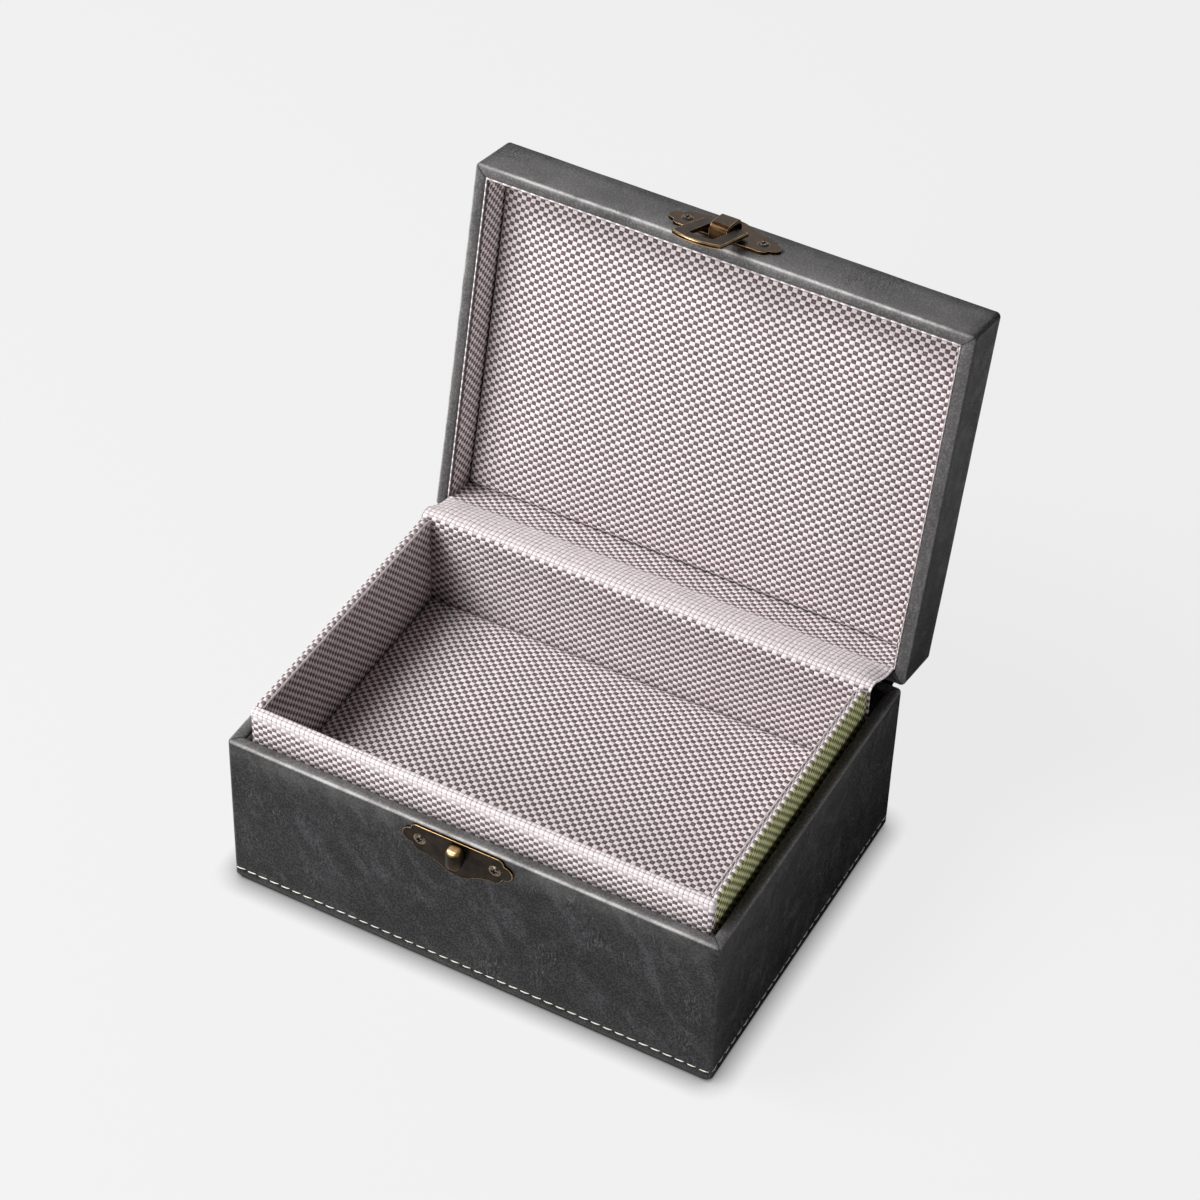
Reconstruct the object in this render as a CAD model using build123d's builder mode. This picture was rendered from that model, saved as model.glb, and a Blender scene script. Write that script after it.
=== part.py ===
from build123d import *
import math
import os

# Signal-blocking key box: board walls wrapped in leather, a fabric insert that stands proud of
# the rim, a lid on a leather and fabric hinge, and a small brass latch with a swinging loop.
# Millimetres. The origin is the middle of the base's underside, +Z up, the latch faces -Y.

os.makedirs("parts", exist_ok=True)

# ---- driving sizes: the box ----
box_width = 136.0  # outside, along X
box_depth = 100.0  # outside, along Y
base_height = 49.0  # floor to the base's rim
lid_height = 17.0  # lid's rim to its top
lid_open_angle = 102.0  # as stored: the lid stands open on its cloth hinge
corner_radius = 2.4  # upright outer corners
rim_round = 1.0  # rounding of the leather over the rims
lid_top_round = 1.4  # rounding round the lid's top
rim_gap = 0.2  # air between the two rims when shut
inner_bevel = 0.4  # small bevel of the skin inside both rims
lid_board_bevel = 0.6  # the lid's top board under its rounded skin

# ---- driving sizes: sheet materials ----
board = 2.2  # wall, floor and top boards
board_land = 0.3  # what a rounded upright arris leaves of a board's thickness
leather = 0.5  # leather skin
turn_in = 10.0  # how far the skin runs down inside the rim
turn_under = 10.0  # how far the skin runs under the floor
cover = 0.8  # panel under the base
cover_inset = 0.4  # panel edge stands back from the skin
cover_bevel = 0.3  # its lower edge
edge_groove = 0.4  # rounding of the skin over the panel
foil = 0.3  # conductive foil
spine_edge = 0.6  # the hinge spine's edges stand back from the rounded corners
spine_low = 6.0  # its lower edge on the base, above the ground

# ---- driving sizes: insert and lining ----
liner = 2.4  # fabric-covered insert board
liner_gap = 1.2  # between the rim's inner face and the insert, at front and sides
liner_back_gap = 6.8  # the same at the back, where the hinge cloth folds
liner_rise = 8.8  # insert above the rim
liner_round = 1.2  # rounded top of the insert
liner_inner_round = 0.6  # the front board's inner top edge
liner_back_round = 1.0  # the back board's top edges, under the cloth
liner_corner = 0.8  # its rounded upright front corners
side_corner = 2.2  # rounded top back corner of the side walls
cloth = 0.5  # hinge cloth
cloth_overhang = 0.6  # cloth beyond the insert at each end
cloth_sag = 0.8  # how far the free cloth hangs below a straight line
cloth_turn = 1.0  # it leaves the lid's wall this far inside the rim
cloth_tuck = 3.0  # its lower end lies this far below the padded floor
lid_liner = 0.6  # fabric-covered card inside the lid's walls
lid_liner_step = 0.5  # its edge lies below the lid's rim
card = 1.0  # stiff card behind each pad
soft_gap = 0.3  # soft pieces stay this far from what they face
riser_clear = 0.4  # the foam riser is cut a little small

# ---- driving sizes: pads ----
floor_level = 31.0  # padded floor at its edges, above the ground
floor_pad_edge = 5.0  # thickness of the floor pad at its edges
floor_crown = 1.8  # extra height in its middle
lid_pad_edge = 3.4
lid_crown = 1.2
pad_round = 1.6  # rounded upper edge of a pad
pad_draw = 0.5  # how far a pad's sides draw in along their middle
pad_corner = 1.5  # a pad's upright corners

# ---- driving sizes: latch ----
latch_offset = -2.2  # the latch sits a little left of the middle
plate_half = 15.2  # half the length of a latch plate
plate_height = 11.8  # straight edge to point
plate_straight = 11.4  # half the straight edge
plate = 0.8  # plate thickness
plate_round = 0.3  # rounding of its cusps
lobe_length = 2.4  # rounded lobe at each end
lobe_notch = 1.0  # hollow between the straight edge and the lobe
lobe_lean = 0.4  # the lobe's lower root lies further in than its upper one
cusp_in = 1.3  # from a lobe's root in to the cusp under it
shoulder_in = 3.2  # and on to the ogee's shoulder
catch_drop = 0.6  # catch plate's straight edge below the rim
hasp_plate_rise = 3.6  # hasp plate's straight edge above the lid's rim
screw_spread = 10.4  # screws from the plate's middle
screw_drop = 4.3  # screws from the straight edge
screw_head = 3.0  # head diameter
screw_shank = 1.5
screw_length = 3.2  # under the head, into the board
screw_dome = 0.35  # head above the plate
cross_width = 0.45
cross_length = 1.7
cross_depth = 0.4

beak_width = 5.2
beak_sheet = 0.85  # thickness of the folded strip
beak_reach = 9.0  # along the lid's front
beak_height = 4.1  # out from the lid's front
beak_lip = 0.5  # its front stands this far past the plate's straight edge
beak_nose = 1.7  # bend nearest the rim
beak_heel = 3.2  # bend nearest the point
beak_edge = 0.3
bend_share = 0.6  # an inner bend is smaller than the outer by this share of the sheet
bend_land = 0.05  # least straight run under the inner heel

loop_sheet = 1.2  # thickness of the loop
loop_pivot_rise = 7.0  # pivot above the lid's rim
loop_pivot_out = 2.0  # pivot out from the lid's front
loop_bar = 1.8  # width of its top bar
loop_arm = 3.0  # width of each arm at the bar
loop_slot_half = 3.2  # half the slot's width
loop_slot_end = 15.0  # pivot to the far end of the slot
loop_end = 19.6  # pivot to the far end of the loop
loop_flare = 0.6  # how much wider each side is near its end
loop_corner = 1.9
loop_slot_corner = 0.5
loop_bow = 2.5  # how far the end bows out
loop_edge = 0.25
loop_rest_angle = 11.5  # as stored, lifted clear of the catch

post_width = 4.6
post_root = 3.0  # width where it leaves the plate at the top
post_reach = 4.2  # out from the base's front
post_top_drop = 0.8  # top of the post below the plate's straight edge
post_bottom_clear = 0.25  # between its tip and the loop's swing
post_bend = 1.5
post_shoulder = 2.4  # how far out its sides run straight
post_crest = 0.02  # its rounded front touches the full reach
nose_back = 1.3  # its lowest point lies this far behind its front
nose_rise = 1.5  # its front is straight down to this far above the lowest point
nose_cheek = (0.35, 0.4)  # middle of the nose's bend, back and up
throat_rise = 2.4  # its underside meets the plate this far above the lowest point
throat_middle = (0.9, 0.8)  # middle of the underside's hollow, out and up
post_swell = 3.2  # below its top, where it is widest
post_bulge = 0.4  # its rounded lower end is drawn past the lowest point
swell_ease = 0.15  # how far its sides lie in, half way there
rivet_low = 1.9  # rivet's middle below the post's top
rivet = 2.0  # post's rivet through the plate

# ---- worked out from the above ----
half_width = box_width / 2
half_depth = box_depth / 2
board_inset = leather + board  # outside to a board's inner face
wall = leather + board + leather  # outside to the rim's inner face
wall_bottom = cover + leather
wall_top = base_height - leather
floor_top = wall_bottom + board
foil_top = floor_top + foil
liner_inset = wall + liner_gap
liner_back_face = half_depth - wall - liner_back_gap - liner
liner_top = base_height + liner_rise
cloth_face = liner_back_face - cloth
lid_face = wall + lid_liner
lid_under_top = lid_height - leather - board
lid_foil_face = lid_under_top - foil
lid_card_face = lid_foil_face - card
lid_pad_face = lid_card_face - lid_pad_edge
liner_half_width = half_width - liner_inset
liner_front_out = -half_depth + liner_inset
liner_front_in = liner_front_out + liner
well_half_width = liner_half_width - liner
well_front = liner_front_in
well_depth = cloth_face - well_front
well_middle = (cloth_face + well_front) / 2
card_bottom = floor_level - floor_pad_edge - card
open_sine = math.sin(math.radians(lid_open_angle))
open_cosine = math.cos(math.radians(lid_open_angle))
lid_across = (0, open_sine, open_cosine)  # from the lid's rim to its top, as stored
lid_along = (0, -open_cosine, open_sine)  # from the hinge to the lid's front, as stored

# The lid is drawn in its own plane: X along the hinge, -Y to its front, Z from rim to top.
lid_plane = Plane(origin=(0, half_depth, base_height), x_dir=(1, 0, 0), z_dir=lid_across)
lid_middle = (0, -half_depth)
front_of_lid = lid_plane.from_local_coords(Vector(latch_offset, -box_depth, 0))

# Planes of the latch: faces of the box's front, and side planes through the latch's middle.
catch_plane = Plane(
    origin=(latch_offset, -half_depth, base_height - catch_drop),
    x_dir=(-1, 0, 0),
    z_dir=(0, -1, 0),
)  # X across, Y down, Z out
catch_side = Plane(
    origin=(latch_offset, -half_depth, base_height - catch_drop),
    x_dir=(0, -1, 0),
    z_dir=(1, 0, 0),
)  # X out, Y down
hasp_plane = Plane(
    origin=front_of_lid + Vector(*lid_across) * hasp_plate_rise,
    x_dir=(1, 0, 0),
    z_dir=lid_along,
)  # X across, Y towards the lid's top, Z out
hasp_side = Plane(
    origin=front_of_lid + Vector(*lid_across) * hasp_plate_rise,
    x_dir=lid_across,
    z_dir=(1, 0, 0),
)  # X towards the lid's top, Y out
pivot_point = (
    front_of_lid
    + Vector(*lid_across) * loop_pivot_rise
    + Vector(*lid_along) * loop_pivot_out
)
loop_flat = Plane(origin=pivot_point, x_dir=(1, 0, 0), z_dir=lid_along)
loop_plane = loop_flat.rotated((-loop_rest_angle, 0, 0))  # X across, -Y to its end


def finish(piece, name):
    # names a finished piece and writes it
    piece.part.label = name
    export_step(piece.part, "parts/" + name + ".step")


def block(plane, middle, size, height):
    # a plain board: a rectangle on a plane, given its thickness
    with BuildPart() as piece:
        with BuildSketch(plane):
            with Locations(middle):
                Rectangle(size[0], size[1])
        extrude(amount=height)
    return piece


def wall_boards(plane, low, high, middle_y, screw_holes):
    # the four walls of a tray: front and back run full width, the sides fit between them;
    # the front one is pierced by the latch's screws
    long_size = (box_width - 2 * leather, board)
    side_size = (board, box_depth - 2 * board_inset)
    up = Axis((0, 0, 0), plane.z_dir)
    reach_y = half_depth - leather - board / 2
    reach_x = half_width - leather - board / 2
    places = {
        "front": ((0, middle_y - reach_y), long_size),
        "back": ((0, middle_y + reach_y), long_size),
        "left": ((-reach_x, middle_y), side_size),
        "right": ((reach_x, middle_y), side_size),
    }
    walls = {}
    for side, (middle, size) in places.items():
        with BuildPart() as piece:
            with BuildSketch(plane.offset(low)):
                with Locations(middle):
                    Rectangle(size[0], size[1])
            extrude(amount=high - low)
            if side in ("front", "back"):
                outer = 1 if side == "back" else -1
                upright = []
                for edge in piece.edges().filter_by(up):
                    local_y = plane.to_local_coords(edge.center()).Y - middle_y
                    if local_y * outer > reach_y:
                        upright.append(edge)
                fillet(upright, radius=min(corner_radius - leather, board - board_land))
            if side == "front":
                add(screw_holes.part, mode=Mode.SUBTRACT)
        walls[side] = piece
    return walls


def latch_blank():
    # outline shared by both latch plates: a straight edge, a small lobe at each end and an
    # ogee that comes to a blunt point in the middle; its drops are shares of the height
    root = plate_half - lobe_length
    foot = root - lobe_lean
    with BuildSketch() as blank:
        with BuildLine():
            Line((0, 0), (plate_straight, 0))
            ThreePointArc(
                (plate_straight, 0),
                (plate_straight + lobe_notch, lobe_notch / 2),
                (root, plate_height * 0.15),
            )
            ThreePointArc(
                (root, plate_height * 0.15),
                (plate_half, plate_height * 0.34),
                (foot, plate_height * 0.54),
            )
            ThreePointArc(
                (foot, plate_height * 0.54),
                (root - cusp_in, plate_height * 0.68),
                (root - shoulder_in, plate_height * 0.73),
            )
            ThreePointArc(
                (root - shoulder_in, plate_height * 0.73),
                (plate_half * 0.42, plate_height * 0.79),
                (plate_half * 0.26, plate_height * 0.9),
            )
            ThreePointArc(
                (plate_half * 0.26, plate_height * 0.9),
                (plate_half * 0.14, plate_height * 0.98),
                (0, plate_height),
            )
            Line((0, plate_height), (0, 0))
        make_face()
        mirror(about=Plane.YZ)
        # the cusps beside the lobes are eased
        cusps = [corner for corner in blank.vertices() if abs(corner.X) > plate_straight + plate_round]
        fillet(cusps, radius=plate_round)
    return blank.sketch


def screw_pair(plane, crossed=True):
    # two countersunk cross-head screws that stand in a plate lying on this plane; without
    # their crosses they are the holes that the screws fill
    with BuildPart() as pair:
        for side in (-1, 1):
            axis_plane = Plane(
                origin=plane.from_local_coords(Vector(side * screw_spread, screw_drop, 0)),
                x_dir=plane.x_dir,
                z_dir=plane.z_dir,
            )
            with BuildSketch(Plane(axis_plane.origin, x_dir=plane.x_dir, z_dir=plane.y_dir)):
                with BuildLine():
                    Polyline(
                        (0, screw_length),
                        (screw_shank / 2, screw_length),
                        (screw_shank / 2, 0),
                        (screw_head / 2, -plate),
                        (screw_head / 3, -plate - screw_dome),
                        (0, -plate - screw_dome),
                        (0, screw_length),
                    )
                make_face()
            revolve(axis=Axis(axis_plane.origin, plane.z_dir))
            if crossed:
                with BuildSketch(axis_plane.offset(plate + screw_dome - cross_depth)):
                    Rectangle(cross_length, cross_width)
                    Rectangle(cross_width, cross_length)
                extrude(amount=cross_depth * 2, mode=Mode.SUBTRACT)
    return pair


def pad_section(plane, middle, size, inset, height):
    # one level of a cushion: a rectangle whose sides draw in between its cut corners
    half_x = size[0] / 2 - inset
    half_y = size[1] / 2 - inset
    outline = []
    for turn in range(4):
        # the sides in order round the outline, each in three short runs
        along, out = (half_x, half_y) if turn % 2 == 0 else (half_y, half_x)
        for step in (-1, -0.4, 0.4, 1):
            across = step * (along - pad_corner)
            reach = out - pad_draw * (1 - step**2)
            point = Vector(across, -reach).rotate(Axis.Z, 90 * turn)
            outline.append((middle[0] + point.X, middle[1] + point.Y))
    with BuildSketch(plane.offset(height)) as level:
        with BuildLine():
            Polyline(*outline, close=True)
        make_face()
    return level


def pad_solid(plane, middle, size, edge_height, crown):
    # a cushion: sides that draw in, a rounded upper edge and a crowned top; each level is
    # drawn in by an inset and lies at a height
    rise = min(size) / 2
    levels = (
        (pad_round * 0.4, 0),
        (0, edge_height * 0.4),
        (pad_round * 0.3, edge_height - pad_round * 0.4),
        (pad_round, edge_height),
        (rise * 0.25, edge_height + crown * 0.6),
        (rise * 0.55, edge_height + crown),
    )
    with BuildPart() as pad:
        for inset, height in levels:
            add(pad_section(plane, middle, size, inset, height).sketch)
        loft(ruled=True)
    return pad


# ================= latch screws =================
catch_screws = screw_pair(catch_plane)
finish(catch_screws, "catch_screws")
hasp_screws = screw_pair(hasp_plane)
finish(hasp_screws, "hasp_screws")
catch_holes = screw_pair(catch_plane, crossed=False)
hasp_holes = screw_pair(hasp_plane, crossed=False)

# ================= base: boards =================
base_walls = wall_boards(Plane.XY, wall_bottom, wall_top, 0, catch_holes)
for side, wall_piece in base_walls.items():
    finish(wall_piece, "base_" + side + "_board")

floor_size = (box_width - 2 * board_inset, box_depth - 2 * board_inset)
base_floor_board = block(Plane.XY.offset(wall_bottom), (0, 0), floor_size, board)
finish(base_floor_board, "base_floor_board")

# ================= base: leather skin =================
spine_half = half_width - corner_radius - spine_edge  # it lies between the rounded corners
spine_high = lid_height - lid_top_round - spine_edge  # its upper edge on the lid

with BuildPart() as base_wrap:
    with BuildSketch(Plane.XY.offset(cover)):
        RectangleRounded(box_width, box_depth, corner_radius)
    extrude(amount=base_height - cover)
    fillet(base_wrap.faces().sort_by(Axis.Z)[-1].edges(), radius=rim_round)
    chamfer(base_wrap.faces().sort_by(Axis.Z)[0].edges(), length=edge_groove)
    # the inside: down to the turn-in's lower edge, then out to the boards
    with BuildSketch(Plane.XY.offset(base_height)):
        Rectangle(box_width - 2 * wall, box_depth - 2 * wall)
    extrude(amount=-(base_height - wall_bottom), mode=Mode.SUBTRACT)
    inner_rim = base_wrap.faces().sort_by(Axis.Z)[-1].inner_wires()[0].edges()
    chamfer(inner_rim, length=inner_bevel)
    with BuildSketch(Plane.XY.offset(wall_bottom)):
        Rectangle(floor_size[0], floor_size[1])
    extrude(amount=base_height - turn_in - wall_bottom, mode=Mode.SUBTRACT)
    with BuildSketch(Plane.XY):
        Rectangle(box_width - 2 * turn_under, box_depth - 2 * turn_under)
    extrude(amount=base_height, mode=Mode.SUBTRACT)
    for wall_piece in base_walls.values():
        add(wall_piece.part, mode=Mode.SUBTRACT)
    # the back's outer layer is cut away where the hinge spine is let in
    with BuildSketch(Plane.XY.offset(spine_low)):
        with Locations((0, half_depth - leather / 2)):
            Rectangle(2 * spine_half, leather)
    extrude(amount=base_height - spine_low, mode=Mode.SUBTRACT)
    add(catch_holes.part, mode=Mode.SUBTRACT)
finish(base_wrap, "base_wrap")

with BuildPart() as base_bottom_cover:
    with BuildSketch(Plane.XY):
        RectangleRounded(
            box_width - 2 * cover_inset,
            box_depth - 2 * cover_inset,
            corner_radius - cover_inset,
        )
    extrude(amount=cover)
    chamfer(base_bottom_cover.faces().sort_by(Axis.Z)[0].edges(), length=cover_bevel)
finish(base_bottom_cover, "base_bottom_cover")

# ================= base: conductive foil tray =================
with BuildPart() as base_shield:
    with BuildSketch(Plane.XY.offset(floor_top)):
        Rectangle(box_width - 2 * wall, box_depth - 2 * wall)
    extrude(amount=wall_top - rim_round - floor_top)
    with BuildSketch(Plane.XY.offset(foil_top)):
        Rectangle(box_width - 2 * wall - 2 * foil, box_depth - 2 * wall - 2 * foil)
    extrude(amount=wall_top - foil_top, mode=Mode.SUBTRACT)
finish(base_shield, "base_shield")

# ================= insert =================
with BuildPart() as liner_front:
    with BuildSketch(Plane.XY.offset(foil_top)):
        with Locations((0, liner_front_out + liner / 2)):
            Rectangle(2 * liner_half_width, liner)
    extrude(amount=liner_top - foil_top)
    front_top = liner_front.faces().sort_by(Axis.Z)[-1].edges()
    fillet(front_top.sort_by(Axis.Y)[0], radius=liner_round)
    fillet(liner_front.edges().filter_by(Axis.Z).group_by(Axis.Y)[0], radius=liner_corner)
    fillet(
        liner_front.faces().sort_by(Axis.Z)[-1].edges().filter_by(Axis.X).sort_by(Axis.Y)[-1],
        radius=liner_inner_round,
    )
finish(liner_front, "liner_front")

with BuildPart() as liner_back:
    with BuildSketch(Plane.XY.offset(foil_top)):
        with Locations((0, liner_back_face + liner / 2)):
            Rectangle(2 * liner_half_width, liner)
    extrude(amount=liner_top - cloth - foil_top)
    fillet(
        liner_back.faces().sort_by(Axis.Z)[-1].edges().filter_by(Axis.X),
        radius=liner_back_round,
    )
finish(liner_back, "liner_back")

for side, sign in (("left", -1), ("right", 1)):
    # seen from the side: a long board with its top back corner rounded off
    with BuildPart() as liner_side:
        with BuildSketch(Plane.YZ.offset(sign * well_half_width)):
            with BuildLine():
                Polyline(
                    (liner_front_in, foil_top),
                    (cloth_face, foil_top),
                    (cloth_face, liner_top - side_corner),
                )
                ThreePointArc(
                    (cloth_face, liner_top - side_corner),
                    (
                        cloth_face - side_corner * (1 - math.sqrt(0.5)),
                        liner_top - side_corner * (1 - math.sqrt(0.5)),
                    ),
                    (cloth_face - side_corner, liner_top),
                )
                Polyline(
                    (cloth_face - side_corner, liner_top),
                    (liner_front_in, liner_top),
                    (liner_front_in, foil_top),
                )
            make_face()
        extrude(amount=sign * liner)
        ridge = liner_side.edges().filter_by(Axis.Y).group_by(Axis.Z)[-1].sort_by(Axis.X)
        outer_ridge = ridge[-1] if sign > 0 else ridge[0]
        fillet(outer_ridge, radius=liner_round)
    finish(liner_side, "liner_" + side)

riser_size = (2 * (well_half_width - riser_clear), well_depth + cloth - 2 * riser_clear)
riser_middle = (0, (liner_back_face + well_front) / 2)
floor_riser = block(
    Plane.XY.offset(foil_top), riser_middle, riser_size, card_bottom - foil_top
)
finish(floor_riser, "floor_riser")

floor_card = block(
    Plane.XY.offset(card_bottom),
    (0, well_middle),
    (2 * (well_half_width - soft_gap), well_depth - 2 * soft_gap),
    card,
)
finish(floor_card, "floor_card")

floor_pad = pad_solid(
    Plane.XY.offset(card_bottom + card),
    (0, well_middle),
    (2 * (well_half_width - soft_gap), well_depth - 2 * soft_gap),
    floor_pad_edge,
    floor_crown,
)
finish(floor_pad, "floor_pad")

# ================= lid: boards =================
lid_walls = wall_boards(
    lid_plane, rim_gap + leather, lid_under_top, -half_depth, hasp_holes
)
for side, wall_piece in lid_walls.items():
    finish(wall_piece, "lid_" + side + "_board")

with BuildPart() as lid_top_board:
    with BuildSketch(lid_plane.offset(lid_under_top)):
        with Locations(lid_middle):
            RectangleRounded(
                box_width - 2 * leather, box_depth - 2 * leather, corner_radius - leather
            )
    extrude(amount=board)
    lid_top_face = lid_top_board.faces().sort_by(Axis((0, 0, 0), lid_across))[-1]
    chamfer(lid_top_face.edges(), length=lid_board_bevel)
finish(lid_top_board, "lid_top_board")

# ================= lid: leather skin =================
lid_axis = Axis((0, 0, 0), lid_across)
with BuildPart() as lid_wrap:
    with BuildSketch(lid_plane.offset(rim_gap)):
        with Locations(lid_middle):
            RectangleRounded(box_width, box_depth, corner_radius)
    extrude(amount=lid_height - rim_gap)
    fillet(lid_wrap.faces().sort_by(lid_axis)[-1].edges(), radius=lid_top_round)
    fillet(lid_wrap.faces().sort_by(lid_axis)[0].edges(), radius=rim_round)
    with BuildSketch(lid_plane.offset(rim_gap)):
        with Locations(lid_middle):
            Rectangle(box_width - 2 * wall, box_depth - 2 * wall)
    extrude(amount=lid_under_top - rim_gap, mode=Mode.SUBTRACT)
    lid_inner_rim = lid_wrap.faces().sort_by(lid_axis)[0].inner_wires()[0].edges()
    chamfer(lid_inner_rim, length=inner_bevel)
    with BuildSketch(lid_plane.offset(rim_gap + turn_in)):
        with Locations(lid_middle):
            Rectangle(floor_size[0], floor_size[1])
    extrude(amount=lid_under_top - rim_gap - turn_in, mode=Mode.SUBTRACT)
    for wall_piece in lid_walls.values():
        add(wall_piece.part, mode=Mode.SUBTRACT)
    add(lid_top_board.part, mode=Mode.SUBTRACT)
    with BuildSketch(lid_plane):
        with Locations((0, -leather / 2)):
            Rectangle(2 * spine_half, leather)
    extrude(amount=spine_high, mode=Mode.SUBTRACT)
    add(hasp_holes.part, mode=Mode.SUBTRACT)
finish(lid_wrap, "lid_wrap")

# ================= lid: foil, card, pad and lining =================
lid_inner = (box_width - 2 * wall, box_depth - 2 * wall)
with BuildPart() as lid_shield:
    with BuildSketch(lid_plane.offset(lid_foil_face)):
        with Locations(lid_middle):
            Rectangle(lid_inner[0], lid_inner[1])
    extrude(amount=foil)
finish(lid_shield, "lid_shield")

lid_card = block(lid_plane.offset(lid_card_face), lid_middle, lid_inner, card)
finish(lid_card, "lid_card")

# the pad faces the lid's rim, so it is drawn on a plane that looks that way
pad_plane = Plane(
    origin=lid_plane.from_local_coords(Vector(0, -half_depth, lid_card_face)),
    x_dir=(1, 0, 0),
    z_dir=lid_plane.z_dir * -1,
)
lid_pad = pad_solid(
    pad_plane,
    (0, 0),
    (box_width - 2 * lid_face - 2 * soft_gap, box_depth - 2 * lid_face - 2 * soft_gap),
    lid_pad_edge,
    lid_crown,
)
finish(lid_pad, "lid_pad")

lining_low = rim_gap + lid_liner_step
lining_height = lid_card_face - lining_low
lid_lining = {
    "front": (
        (0, -box_depth + wall + lid_liner / 2),
        (box_width - 2 * wall, lid_liner),
    ),
    "left": (
        (-half_width + wall + lid_liner / 2, -half_depth + (lid_liner - cloth) / 2),
        (lid_liner, box_depth - 2 * wall - lid_liner - cloth),
    ),
    "right": (
        (half_width - wall - lid_liner / 2, -half_depth + (lid_liner - cloth) / 2),
        (lid_liner, box_depth - 2 * wall - lid_liner - cloth),
    ),
}
for side, (middle, size) in lid_lining.items():
    lining_piece = block(lid_plane.offset(lining_low), middle, size, lining_height)
    finish(lining_piece, "lid_liner_" + side)

# ================= hinge =================
# The spine lies on both backs and folds on the line where the two rims meet.
with BuildPart() as hinge_leather:
    with BuildSketch(Plane.XY.offset(spine_low)):
        with Locations((0, half_depth - leather / 2)):
            Rectangle(2 * spine_half, leather)
    extrude(amount=base_height - spine_low)
    with BuildSketch(lid_plane):
        with Locations((0, -leather / 2)):
            Rectangle(2 * spine_half, leather)
    extrude(amount=spine_high)
    with BuildSketch(Plane.YZ.offset(-spine_half)):
        with Locations((half_depth, base_height)):
            Circle(leather)
    extrude(amount=2 * spine_half)
finish(hinge_leather, "hinge_leather")

# The cloth is one strip: from the lid's pad along its back wall, over the open hinge to the
# insert's back board, over its top and down its face to the padded floor.
cloth_half = liner_half_width + cloth_overhang


def in_lid(back, rise):
    # a point of the side view, given in the lid by its distance from the back and the rim
    point = lid_plane.from_local_coords(Vector(0, -back, rise))
    return (point.Y, point.Z)


lid_run_start = in_lid(wall, lid_pad_face + soft_gap)
lid_run_end = in_lid(wall, rim_gap + cloth_turn)
board_back = (liner_back_face + liner, liner_top - cloth)
over_end = in_lid(wall + cloth, rim_gap + cloth_turn)
over_start = in_lid(wall + cloth, lid_pad_face + soft_gap)
cloth_end = floor_level - cloth_tuck
middle_of_span = (
    (lid_run_end[0] + board_back[0]) / 2,
    (lid_run_end[1] + board_back[1]) / 2 - cloth_sag,
)
with BuildPart() as hinge_cloth:
    with BuildSketch(Plane.YZ.offset(-cloth_half)):
        with BuildLine():
            Line(lid_run_start, lid_run_end)
            ThreePointArc(lid_run_end, middle_of_span, board_back)
            Polyline(
                board_back,
                (liner_back_face, liner_top - cloth),
                (liner_back_face, cloth_end),
                (cloth_face, cloth_end),
                (cloth_face, liner_top),
                (liner_back_face + liner, liner_top),
            )
            ThreePointArc(
                (liner_back_face + liner, liner_top),
                (middle_of_span[0], middle_of_span[1] + cloth),
                over_end,
            )
            Polyline(over_end, over_start, lid_run_start)
        make_face()
    extrude(amount=2 * cloth_half)
    # the corner where it turns down over the board is the nearest edge to that turn
    turn_down = hinge_cloth.edges().filter_by(Axis.X).sort_by_distance((0, cloth_face, liner_top))
    fillet(turn_down[0], radius=liner_round)
    add(liner_back.part, mode=Mode.SUBTRACT)
finish(hinge_cloth, "hinge_cloth")

# ================= latch: catch on the base =================
rivet_drop = post_top_drop + rivet_low
with BuildPart() as catch_plate:
    with BuildSketch(catch_plane):
        add(latch_blank())
    extrude(amount=plate)
    add(catch_holes.part, mode=Mode.SUBTRACT)
    with BuildSketch(catch_plane):
        with Locations((0, rivet_drop)):
            Circle(rivet / 2)
    extrude(amount=plate, mode=Mode.SUBTRACT)
finish(catch_plate, "catch_plate")

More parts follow.
